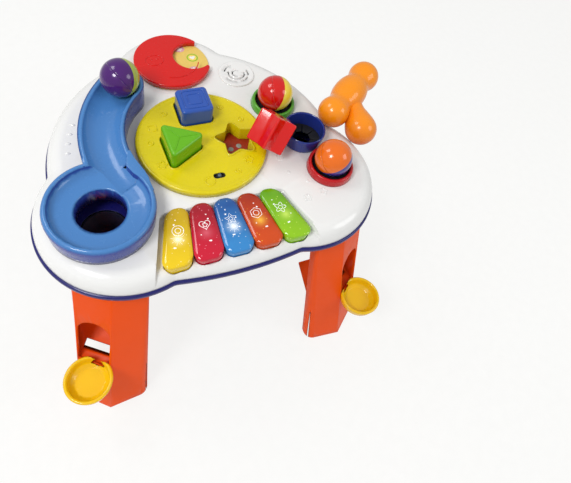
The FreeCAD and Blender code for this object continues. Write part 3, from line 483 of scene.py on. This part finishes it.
def polar(radius, degrees, x=0.0, y=0.0):
    angle = math.radians(degrees)
    return x + radius * math.cos(angle), y + radius * math.sin(angle)


def circle(x, y, radius, count=40, squash=1.0):
    points = []
    for step in range(count):
        angle = 2 * math.pi * step / count
        points.append((x + radius * math.cos(angle), y + squash * radius * math.sin(angle)))
    return points


def star(x, y, radius, waist=0.5, tips=5, turn=90.0):
    points = []
    for step in range(2 * tips):
        reach = radius if step % 2 == 0 else radius * waist
        points.append(polar(reach, turn + 180.0 * step / tips, x, y))
    return points


def flower(x, y, radius, petals=5, depth=0.22, count=60):
    points = []
    for step in range(count):
        angle = 2 * math.pi * step / count
        reach = radius * (1 - depth + depth * math.cos(petals * angle))
        points.append((x + reach * math.cos(angle), y + reach * math.sin(angle)))
    return points


HEART_HALF = 17               # reach of the heart curve in its own units


def heart(x, y, radius, count=48):
    points = []
    for step in range(count):
        t = 2 * math.pi * step / count
        dx = 16 * math.sin(t) ** 3
        dy = 13 * math.cos(t) - 5 * math.cos(2 * t) - 2 * math.cos(3 * t) - math.cos(4 * t)
        points.append((x + dx * radius / HEART_HALF, y + dy * radius / HEART_HALF))
    return points


def polygon(x, y, radius, sides, turn=90.0):
    return star(x, y, radius, math.cos(math.pi / sides), sides, turn)


def rounded_square(x, y, half, corner, count=8):
    points = []
    for quarter in range(4):
        cx = x + (half - corner) * (1 if quarter in (0, 3) else -1)
        cy = y + (half - corner) * (1 if quarter in (0, 1) else -1)
        for step in range(count + 1):
            points.append(polar(corner, 90.0 * (quarter + step / count), cx, cy))
    return points


def at_height(outline, z):
    return [(x, y, z) for x, y in outline]


# Ring of small embossed shapes on the sorter disc, and its groove

MOTIF_RING_R = 67.0
MOTIFS = (
    (150, "square"), (172, "dot"), (262, "ring"), (297, "dot"), (318, "flower"),
    (52, "dot"), (72, "ring"), (22, "dot"), (124, "dot"), (205, "flower"),
)
DISC_DOT = (1.5, 0.9)         # radius and height, as for the other dots
GROOVE_R, GROOVE_LINE, GROOVE_SUNK, GROOVE_STEPS = 82.3, 0.7, 0.15, 160


def disc_motif(index, bearing, kind):
    x, y = polar(MOTIF_RING_R, bearing)
    label = "disc_motif_%02d" % index
    outline, line = {
        "dot": (circle(x, y, 3.6), 0.9),
        "ring": (circle(x, y, 6.2), 1.1),
        "flower": (flower(x, y, 6.4), 1.0),
        "square": (polygon(x, y, 7.0, 4, 45.0), 1.0),
    }[kind]
    bead(label, at_height(outline, DISC_FACE), line, "disc_yellow")
    if kind == "dot":
        dome(label + "_middle", x, y, DISC_FACE - SUNK, *DISC_DOT, "disc_yellow")


for index, (bearing, kind) in enumerate(MOTIFS):
    disc_motif(index, bearing, kind)
groove = circle(0, 0, GROOVE_R, GROOVE_STEPS)
bead("disc_groove", at_height(groove, DISC_TOP - GROOVE_SUNK), GROOVE_LINE, "disc_yellow")


# Raised lip round the star pocket and two grey dots on its plate

STAR = (44.5, -8.0)
STAR_REACH, STAR_WAIST = 32.2, 18.6
STAR_LINE = 1.1
PLATE_TOP = DECK - 10.0
PLATE_DOT = (3.9, 1.0)
PLATE_DOTS = ((-6.0, -2.0), (6.5, 1.5))
FINISHES["dot_grey"] = matt("dot grey", (0.26, 0.28, 0.26), 0.5)
star_lip = star(*STAR, STAR_REACH, STAR_WAIST / STAR_REACH)
bead("pocket_lip_star", at_height(star_lip, DISC_FACE), STAR_LINE, "disc_yellow")
for index, (dx, dy) in enumerate(PLATE_DOTS):
    spot = (STAR[0] + dx, STAR[1] + dy, PLATE_TOP - SUNK)
    dot = dome("star_plate_dot_%d" % index, *spot, *PLATE_DOT, "plate_red", "plate_star")
    dress(dot, "dot_grey")


# The track's inner wall carried round into the bowl's rim

WALL_INNER = (
    (-99.0, -12.0), (-102.5, -23.0), (-105.0, -34.0), (-99.5, -46.0),
    (-91.0, -57.0), (-86.8, -66.0), (-84.2, -75.3),
)
WALL_OUTER = (
    (-95.6, -11.5), (-92.9, -24.9), (-89.2, -35.4), (-85.6, -45.4),
    (-82.9, -55.6), (-82.6, -64.4), (-81.0, -75.0),
)
WALL_LOWEST = DECK + 20
WALL_EDGE = 1.3


def slide_top(x, y):
    """Height of the slide's moulding under a point, in millimetres."""
    above = place(x, y, DECK + 90)
    hit, spot = frame["nodes"]["ball_slide"].ray_cast(above, Vector((0, 0, -1)))[:2]
    return spot.z / MM if hit else DECK


def wall_top(inner, outer):
    return max(slide_top((inner[0] + outer[0]) / 2, (inner[1] + outer[1]) / 2), WALL_LOWEST)


def make_wall_join():
    first = wall_top(WALL_INNER[0], WALL_OUTER[0])
    last = wall_top(WALL_INNER[-1], WALL_OUTER[-1])
    count = len(WALL_INNER)
    vertices = []
    for index, (inner, outer) in enumerate(zip(WALL_INNER, WALL_OUTER)):
        top = first + (last - first) * index / (count - 1)
        for corner in ((*inner, DECK), (*inner, top), (*outer, top), (*outer, DECK)):
            vertices.append(place(*corner))
    faces = [(3, 2, 1, 0), tuple(4 * (count - 1) + corner for corner in range(4))]
    for index in range(count - 1):
        a, b = 4 * index, 4 * index + 4
        faces += [(a + side, a + (side + 1) % 4, b + (side + 1) % 4, b + side) for side in range(4)]
    join = add_mesh("slide_wall_join", vertices, faces)
    edge = join.modifiers.new("edge", "BEVEL")
    edge.width, edge.segments = WALL_EDGE * MM, 3
    edge.limit_method, edge.angle_limit = "ANGLE", CAP_SHARP
    on_table(join, "slide_blue")


make_wall_join()


# Spinner bumps and the little pictures that show through its bite

SPIN = (0.0, 156.0)
SPINNER_TOP = DECK + 10.2
SPINNER_OVAL = (SPIN[0] - 26, SPIN[1] + 2)
SPINNER_OVAL_R, SPINNER_ARC_R = 13.0, 38
OVAL_LINE, ARC_LINE = 0.7, 0.8
SPINNER_DOT = (2.2, 1.1)
SPINNER_DOTS = ((-31.0, 4.0), (-21.5, 4.0))
for index, (dx, dy) in enumerate(SPINNER_DOTS):
    spot = (SPIN[0] + dx, SPIN[1] + dy, SPINNER_TOP - DEEP_SUNK)
    dome("spinner_dot_%d" % index, *spot, *SPINNER_DOT, "spinner_red", "spinner")
oval = circle(*SPINNER_OVAL, SPINNER_OVAL_R, squash=0.8)
bead("spinner_oval", at_height(oval, SPINNER_TOP), OVAL_LINE, "spinner_red", "spinner")
arc = [polar(SPINNER_ARC_R, bearing, *SPIN) for bearing in range(250, 345, 5)]
bead("spinner_arc", at_height(arc, SPINNER_TOP), ARC_LINE, "spinner_red", "spinner", closed=False)

PICTURE_FACE = DECK + 2.4
PICTURE_RING_R, PICTURES, PICTURE_START = 33, 8, 12
PRINT_LAYER, PRINT_EDGE = 0.05, 0.01
FINISHES["print_green"] = matt("print green", (0.32, 0.52, 0.02), 0.4)
FINISHES["print_white"] = matt("print white", (0.85, 0.85, 0.8), 0.4)
FINISHES["print_pink"] = matt("print pink", (0.68, 0.36, 0.42), 0.4)
FINISHES["print_amber"] = matt("print amber", (0.86, 0.66, 0.14), 0.4)


def printed(name, outline, layer, finish):
    """A thin printed patch; higher layers lie over lower ones."""
    low, high = PICTURE_FACE - PRINT_LAYER, PICTURE_FACE + PRINT_LAYER * layer
    dress(tablet(name, outline, low, high, "picture_cream", edge=PRINT_EDGE), finish)


for index in range(PICTURES):
    px, py = polar(PICTURE_RING_R, 360 / PICTURES * index + PICTURE_START, *SPIN)
    if index % 2 == 0:
        printed("picture_disc_%d" % index, circle(px, py, 8.6), 1, "print_green")
        printed("picture_round_%d" % index, circle(px, py, 6.4), 2, "print_amber")
        printed("picture_heart_%d" % index, heart(px, py, 4.4), 3, "print_white")
    else:
        printed("picture_disc_%d" % index, circle(px, py, 7.6, squash=0.8), 1, "print_pink")
        printed("picture_flower_%d" % index, flower(px, py, 4.6), 2, "print_white")


# Domed caps of the keys

CAP_FAR, CAP_NEAR = -90.5, -167.5
CAP_LENGTH = CAP_FAR - CAP_NEAR
CAP_GAP = 0.8
CAP_CORNER = 13.0
CAP_EDGE = KEY_TOP - 1.6
CAP_UNDER = KEY_TOP - 2.2
CAP_RISE = 3.2
CAP_TOP = CAP_EDGE + CAP_RISE
CAP_END = 12.0                # length over which the crown dies away at each end


def cap_pitch(along):
    return KEY_PITCH_FAR + (KEY_PITCH_NEAR - KEY_PITCH_FAR) * along


def cap_half(along):
    """Half width of a cap; its ends are rounded in plan."""
    half = (cap_pitch(along) - CAP_GAP) / 2
    reach = min(along, 1 - along) * CAP_LENGTH
    if reach < CAP_CORNER:
        half -= CAP_CORNER - math.sqrt(CAP_CORNER ** 2 - (CAP_CORNER - reach) ** 2)
    return max(half, 0.1)


def cap_row(index, along, steps):
    """Points across a cap at one place along it."""
    x, y = (index - 2) * cap_pitch(along), CAP_FAR - CAP_LENGTH * along
    half = cap_half(along)
    end = min(1.0, min(along, 1 - along) * CAP_LENGTH / CAP_END)
    crown = CAP_RISE * math.sqrt(max(0.0, 1 - (1 - end) ** 2))
    row = []
    for side in range(steps + 1):
        share = 2 * side / steps - 1
        row.append(place(x + half * share, y, CAP_EDGE + crown * (1 - abs(share) ** 3.5) ** 0.6))
    return row


def key_cap(index, colour):
    columns, steps = 26, 14
    width = steps + 1
    vertices = []
    for step in range(columns + 1):
        vertices += cap_row(index, 0.5 - 0.5 * math.cos(math.pi * step / columns), steps)
    below = len(vertices)
    vertices += [Vector((point.x, point.y, CAP_UNDER * MM)) for point in vertices]
    faces = []
    for row in range(columns):
        for side in range(steps):
            a = row * width + side
            faces.append((a, a + width, a + width + 1, a + 1))
            faces.append((below + a, below + a + 1, below + a + width + 1, below + a + width))
        a, b = row * width, (row + 1) * width
        faces.append((a, below + a, below + b, b))
        a, b = a + steps, b + steps
        faces.append((a, b, below + b, below + a))
    far_end, near_end = range(steps), range(columns * width, columns * width + steps)
    faces += [(a, a + 1, below + a + 1, below + a) for a in far_end]
    faces += [(a, below + a, below + a + 1, a + 1) for a in near_end]
    cap = add_mesh("key_cap_" + colour, vertices, faces)
    cap.data.set_sharp_from_angle(angle=CAP_SHARP)
    on_table(cap, "key_" + colour, colour + "_key")


for index, colour in enumerate(KEY_COLOURS):
    key_cap(index, colour)


# Key icons: fine pale lines, glitter specks drawn as painted glints, and painted rays of light on the
# clear caps

FINISHES["icon_white_painted_glow"] = matt("icon white painted glow", (0.93, 0.93, 0.92), 0.35)
# Painted glow: the pale icon lines, glints and rays are given a faint emission
FINISHES["icon_white_painted_glow"].set(Emission_Color=(1, 1, 1, 1), Emission_Strength=0.25)
ICON_ALONG = 0.36
# Glitter specks drawn as white star glints: painted highlights that glow faintly
GLITTER_GLINTS = (
    (0.16, 4.0, 0.8), (0.22, -6.0, 1.1), (0.62, 5.0, 1.1),
    (0.68, -3.0, 0.9), (0.52, -8.0, 0.7), (0.30, 8.0, 0.7),
)
RAYS = {"yellow": 16, "blue": 18}
RAY_START, RAY_SHORT, RAY_LONG = 0.8, 5.5, 8.5
ICON_LINE, RAY_LINE = 0.33, 0.16
SPECK_LOW, SPECK_HIGH, SPECK_EDGE = CAP_TOP - 0.6, CAP_TOP + 0.05, 0.02
SPECK_GROWTH, SPECK_WAIST, SPECK_SHIFT, SPECK_SPREAD = 1.4, 0.45, 0.8, 0.03


def icon_outlines(colour, x, y):
    return {
        "yellow": (circle(x, y, 6.8), circle(x, y, 3.4)),
        "red": (heart(x, y, 7.2), flower(x, y - 0.4, 3.2)),
        "blue": (star(x, y, 7.8), star(x, y, 3.6)),
        "orange": (polygon(x, y, 7.6, 6), circle(x, y, 3.6)),
        "green": (flower(x, y, 7.6), circle(x, y, 2.6)),
    }[colour]


def key_marks(index, colour):
    slot, body = "key_" + colour, colour + "_key"
    for order, outline in enumerate(icon_outlines(colour, *key_point(index, ICON_ALONG))):
        name = "key_icon_%s_%d" % (colour, order)
        dress(bead(name, at_height(outline, CAP_TOP - SUNK), ICON_LINE, slot, body), "icon_white_painted_glow")
    for order, (along, across, size) in enumerate(GLITTER_GLINTS):
        shift = across * (1 if (index + order) % 2 else -1) * SPECK_SHIFT
        sx, sy = key_point(index, along + SPECK_SPREAD * ((index * 3 + order) % 3), shift)
        outline = star(sx, sy, size * SPECK_GROWTH, SPECK_WAIST, turn=20.0 * order)
        name = "key_speck_%s_%d" % (colour, order)
        speck = tablet(name, outline, SPECK_LOW, SPECK_HIGH, slot, body, SPECK_EDGE)
        dress(speck, "icon_white_painted_glow")


def key_rays(index, colour, rays):
    slot, body = "key_" + colour, colour + "_key"
    middle = key_point(index, GLOW_ALONG)
    for ray in range(rays):
        bearing = 360.0 * ray / rays
        reach = RAY_LONG if ray % 2 else RAY_SHORT
        ends = [polar(radius, bearing, *middle) for radius in (RAY_START, reach)]
        name = "key_ray_%s_%02d" % (colour, ray)
        line = bead(name, at_height(ends, CAP_TOP), RAY_LINE, slot, body, closed=False)
        dress(line, "icon_white_painted_glow")


for index, colour in enumerate(KEY_COLOURS):
    key_marks(index, colour)
for colour, rays in RAYS.items():
    key_rays(KEY_COLOURS.index(colour), colour, rays)


# Shoulder dots and small raised shapes on the white shell

SHOULDER_R, SHOULDER_START, SHOULDER_STEP, SHOULDER_DOTS = 168.5, 156.5, 5.4, 4
SHOULDER_DOT, SHELL_DOT = (3.6, 1.6), (2.6, 0.9)
SHELL_LINE = 0.7
SHELL_MOTIFS = (
    (95.0, -46.0, "ring"), (98.0, -72.0, "dot"), (108.0, -116.0, "flower"),
    (132.0, -112.0, "flower"), (118.0, -92.0, "dot"),
)


def shoulder_dot(index):
    bearing = SHOULDER_START + SHOULDER_STEP * index
    spot = (*polar(SHOULDER_R, bearing), DECK - DEEP_SUNK)
    turn = math.radians(bearing)
    dome("shoulder_dot_%d" % index, *spot, *SHOULDER_DOT, "white_shell", squash=0.6, turn=turn)


def shell_motif(index, x, y, kind):
    label = "shell_motif_%d" % index
    if kind == "dot":
        dome(label, x, y, DECK - SUNK, *SHELL_DOT, "white_shell")
        return
    outline = circle(x, y, 4.2) if kind == "ring" else flower(x, y, 5.4)
    bead(label, at_height(outline, DECK), SHELL_LINE, "white_shell")


for index in range(SHOULDER_DOTS):
    shoulder_dot(index)
for index, motif in enumerate(SHELL_MOTIFS):
    shell_motif(index, *motif)


# Blocks: raised frames on the square one, ribs on the triangular one

SQUARE = (2.0, 50.0)
TRIANGLE = (Vector((-54.0, 21.0)), Vector((-51.0, -41.0)), Vector((3.0, -10.0)))
BLOCK_TOP = PLATE_TOP + 44.0
RIB_SHARE, RIB_LINE = 0.62, 0.8
# Half width, corner radius and line of each frame
SQUARE_FRAMES = (("block_square_frame", 15.5, 4.0, 1.1), ("block_square_inner", 9.0, 3.0, 0.9))
for name, half, corner, line in SQUARE_FRAMES:
    outline = rounded_square(*SQUARE, half, corner)
    bead(name, at_height(outline, BLOCK_TOP), line, "block_blue", "square_block")
triangle_middle = sum(TRIANGLE, Vector((0, 0))) / 3
for index, corner in enumerate(TRIANGLE):
    tip = triangle_middle + (corner - triangle_middle) * RIB_SHARE
    rib = at_height((triangle_middle, tip), BLOCK_TOP)
    bead("block_triangle_rib_%d" % index, rib, RIB_LINE, "block_green", "triangle_block", closed=False)


# Hammer skin: two bulbs and a full barrel in one, and a neck that swells to the butt

TIP_A, TIP_B = Vector((193.0, 0.0, DECK + 20.5)), Vector((265.0, 51.0, DECK + 27.5))
BUTT = Vector((224.5, -32.5, DECK + 11.5))
BULB_R, BARREL_R, BARREL_HALF = 22.4, 24.0, 38.0
NECK_R, NECK_START = 13.5, 10
NECK_STEPS, NECK_EVEN_STEPS, BUTT_STEPS = 16, 4, 18
LEAST_RADIUS = 0.05


def swell(middle, radius, reach, at):
    """Radius at a place along the axis of a form that is round or oval in section."""
    share = 1 - ((at - middle) / reach) ** 2
    return radius * math.sqrt(share) if share > 0 else 0.0


def spindle(name, start, axis, profile, slot, body):
    """A turned form: profile is (distance along the axis, radius) pairs from end to end."""
    axis = axis.normalized()
    side = axis.cross(Vector((0, 0, 1))).normalized()
    upward = side.cross(axis)
    around = 40
    vertices, faces = [], []
    for distance, radius in profile:
        for step in range(around):
            angle = 2 * math.pi * step / around
            spoke = side * math.cos(angle) + upward * math.sin(angle)
            vertices.append(place(*(start + axis * distance + spoke * max(radius, LEAST_RADIUS))))
    for row in range(len(profile) - 1):
        for step in range(around):
            a, b = row * around + step, row * around + (step + 1) % around
            faces.append((a, b, b + around, a + around))
    last = (len(profile) - 1) * around
    faces += [tuple(reversed(range(around))), tuple(range(last, last + around))]
    return on_table(add_mesh(name, vertices, faces), slot, body)


def head_profile():
    span, steps = (TIP_B - TIP_A).length, 72
    profile = []
    for step in range(steps + 1):
        at = -BULB_R + (span + 2 * BULB_R) * (0.5 - 0.5 * math.cos(math.pi * step / steps))
        bulbs = [swell(middle, BULB_R, BULB_R, at) for middle in (0, span)]
        barrel = swell(span / 2, BARREL_R, BARREL_HALF, at)
        profile.append((at, (bulbs[0] ** 4 + barrel ** 4 + bulbs[1] ** 4) ** 0.25))
    return profile


def handle_profile(reach):
    profile = []
    for step in range(NECK_STEPS + 1):
        swollen = max(0.0, step - NECK_EVEN_STEPS) / (NECK_STEPS - NECK_EVEN_STEPS)
        radius = NECK_R + (BULB_R - NECK_R) * (0.5 - 0.5 * math.cos(math.pi * swollen))
        profile.append((NECK_START + (reach - NECK_START) * step / NECK_STEPS, radius))
    for step in range(1, BUTT_STEPS + 1):
        angle = math.pi / 2 * step / BUTT_STEPS
        profile.append((reach + BULB_R * math.sin(angle), BULB_R * math.cos(angle)))
    return profile


head_middle = (TIP_A + TIP_B) / 2
handle = BUTT - head_middle
turned_handle = handle_profile(handle.length)
spindle("hammer_head_skin", TIP_A, TIP_B - TIP_A, head_profile(), "hammer_orange", "hammer")
spindle("hammer_handle_skin", head_middle, handle, turned_handle, "hammer_orange", "hammer")


# Rim: the navy base stands a little proud of the white shell all round

RIM_STEPS = 360
TANGENT_STEPS = 2             # the rim's direction is taken from two steps before to two after
OUTSIDE = 0.5                 # metres from the middle, outside the shell
RIM_LEVEL = DECK - 27
# Section of the rim: distance out from the base shell, and height from the deck
RIM_SECTION = (
    (-1.5, -24.2), (1.4, -24.3), (2.6, -25.4), (3.0, -28.0),
    (2.6, -31.0), (1.2, -33.0), (-1.5, -33.4),
)


def outline_point(bearing):
    """Where a level ray towards the middle meets the base shell's side."""
    outward = Vector((math.cos(bearing), math.sin(bearing), 0))
    middle = place(0, 0, RIM_LEVEL)
    spot = frame["nodes"]["base_shell"].ray_cast(middle + outward * OUTSIDE, -outward)[1]
    return (spot - middle) / MM


def make_rim():
    ring = [outline_point(2 * math.pi * step / RIM_STEPS) for step in range(RIM_STEPS)]
    vertices, faces = [], []
    for step, spot in enumerate(ring):
        before, after = ring[step - TANGENT_STEPS], ring[(step + TANGENT_STEPS) % RIM_STEPS]
        outward = Vector((after.y - before.y, before.x - after.x, 0)).normalized()
        for offset, drop in RIM_SECTION:
            vertices.append(place(spot.x + outward.x * offset, spot.y + outward.y * offset, DECK + drop))
    count = len(RIM_SECTION)
    for step in range(RIM_STEPS):
        a, b = step * count, ((step + 1) % RIM_STEPS) * count
        for index in range(count):
            follow = (index + 1) % count
            faces.append((a + index, a + follow, b + follow, b + index))
    rim = add_mesh("rim_lip", vertices, faces)
    rim.data.set_sharp_from_angle(angle=DOME_SHARP)
    on_table(rim, "navy_base")


make_rim()


# Floor and light

def white_to_camera(tree, shader_output, share):
    """Lets camera and clear rays see a share of plain white."""
    path = tree.nodes.new("ShaderNodeLightPath")
    seen = tree.nodes.new("ShaderNodeMath")
    seen.operation = "MAXIMUM"
    tree.links.new(path.outputs["Is Camera Ray"], seen.inputs[0])
    tree.links.new(path.outputs["Is Transmission Ray"], seen.inputs[1])
    scaled = tree.nodes.new("ShaderNodeMath")
    scaled.operation = "MULTIPLY"
    scaled.inputs[1].default_value = share
    tree.links.new(seen.outputs["Value"], scaled.inputs[0])
    white = tree.nodes.new("ShaderNodeEmission" if share < 1 else "ShaderNodeBackground")
    white.inputs["Color"].default_value = (1, 1, 0.985, 1)
    white.inputs["Strength"].default_value = 1.0
    mix = tree.nodes.new("ShaderNodeMixShader")
    tree.links.new(scaled.outputs["Value"], mix.inputs[0])
    tree.links.new(shader_output, mix.inputs[1])
    tree.links.new(white.outputs[0], mix.inputs[2])
    return mix.outputs[0]


FLOOR_HALF, FLOOR_DROP = 6.0, 0.0004
FLOOR_WHITE = 0.8
STUDIO_STRENGTH = 0.55
# Each light's place, the height it is turned to, its size in metres and its power in watts
LIGHTS = (
    ("key light", (-0.9, -0.5, 1.5), 0.25, 0.5, 12.0),
    ("fill light", (1.1, -0.8, 1.1), 0.2, 0.7, 4.0),
    ("top light", (-0.8, 0.6, 1.5), 0.25, 0.6, 5.0),
)


def make_floor():
    half = FLOOR_HALF
    corners = [(-half, -half, 0), (half, -half, 0), (half, half, 0), (-half, half, 0)]
    floor = add_mesh("floor", corners, [(0, 1, 2, 3)])
    floor.location.z = -FLOOR_DROP
    finish = matt("floor", (0.86, 0.86, 0.85), 0.85, 60.0)
    output = finish.tree.nodes["Material Output"]
    seen = white_to_camera(finish.tree, finish.shader.outputs[0], FLOOR_WHITE)
    finish.link(seen, output.inputs["Surface"])
    floor.data.materials.append(finish.material)


def make_light(name, position, height, size, power):
    data = bpy.data.lights.new(name, "AREA")
    data.shape, data.size, data.energy = "DISK", size, power
    lamp = bpy.data.objects.new(name, data)
    lamp.location = position
    lamp.rotation_mode = "QUATERNION"
    towards = Vector((0, 0, height)) - Vector(position)
    lamp.rotation_quaternion = towards.to_track_quat("-Z", "Y")
    bpy.context.scene.collection.objects.link(lamp)


def make_world():
    world = bpy.data.worlds.new("studio")
    bpy.context.scene.world = world
    world.use_nodes = True
    tree = world.node_tree
    background = tree.nodes["Background"]
    background.inputs["Color"].default_value = (1, 1, 1, 1)
    background.inputs["Strength"].default_value = STUDIO_STRENGTH
    seen = white_to_camera(tree, background.outputs[0], 1.0)
    tree.links.new(seen, tree.nodes["World Output"].inputs["Surface"])


make_floor()
make_world()
for light in LIGHTS:
    make_light(*light)


# Camera at the photograph's angle

def make_camera():
    azimuth, elevation, roll = map(math.radians, (CAMERA_AZIMUTH, CAMERA_ELEVATION, CAMERA_ROLL))
    flat = math.cos(elevation)
    back = Vector((math.sin(azimuth) * flat, -math.cos(azimuth) * flat, math.sin(elevation)))
    level = Vector((math.cos(azimuth), math.sin(azimuth), 0))
    rise = back.cross(level)
    right = level * math.cos(roll) + rise * math.sin(roll)
    up = rise * math.cos(roll) - level * math.sin(roll)
    data = bpy.data.cameras.new("camera")
    data.sensor_width = SENSOR
    data.lens = CAMERA_FOCAL * SENSOR / FRAME_WIDTH
    data.shift_x = (FRAME_WIDTH / 2 - CAMERA_MIDDLE[0]) / FRAME_WIDTH
    data.shift_y = (CAMERA_MIDDLE[1] - FRAME_HEIGHT / 2) / FRAME_WIDTH
    camera = bpy.data.objects.new("camera", data)
    turn = Matrix((right, up, back)).transposed().to_4x4()
    position = place(*CAMERA_TARGET, DECK) + back * CAMERA_DISTANCE * MM
    camera.matrix_world = Matrix.Translation(position) @ turn
    bpy.context.scene.collection.objects.link(camera)
    bpy.context.scene.camera = camera


make_camera()
bpy.context.scene.view_settings.view_transform = "Standard"

bpy.context.view_layer.update()
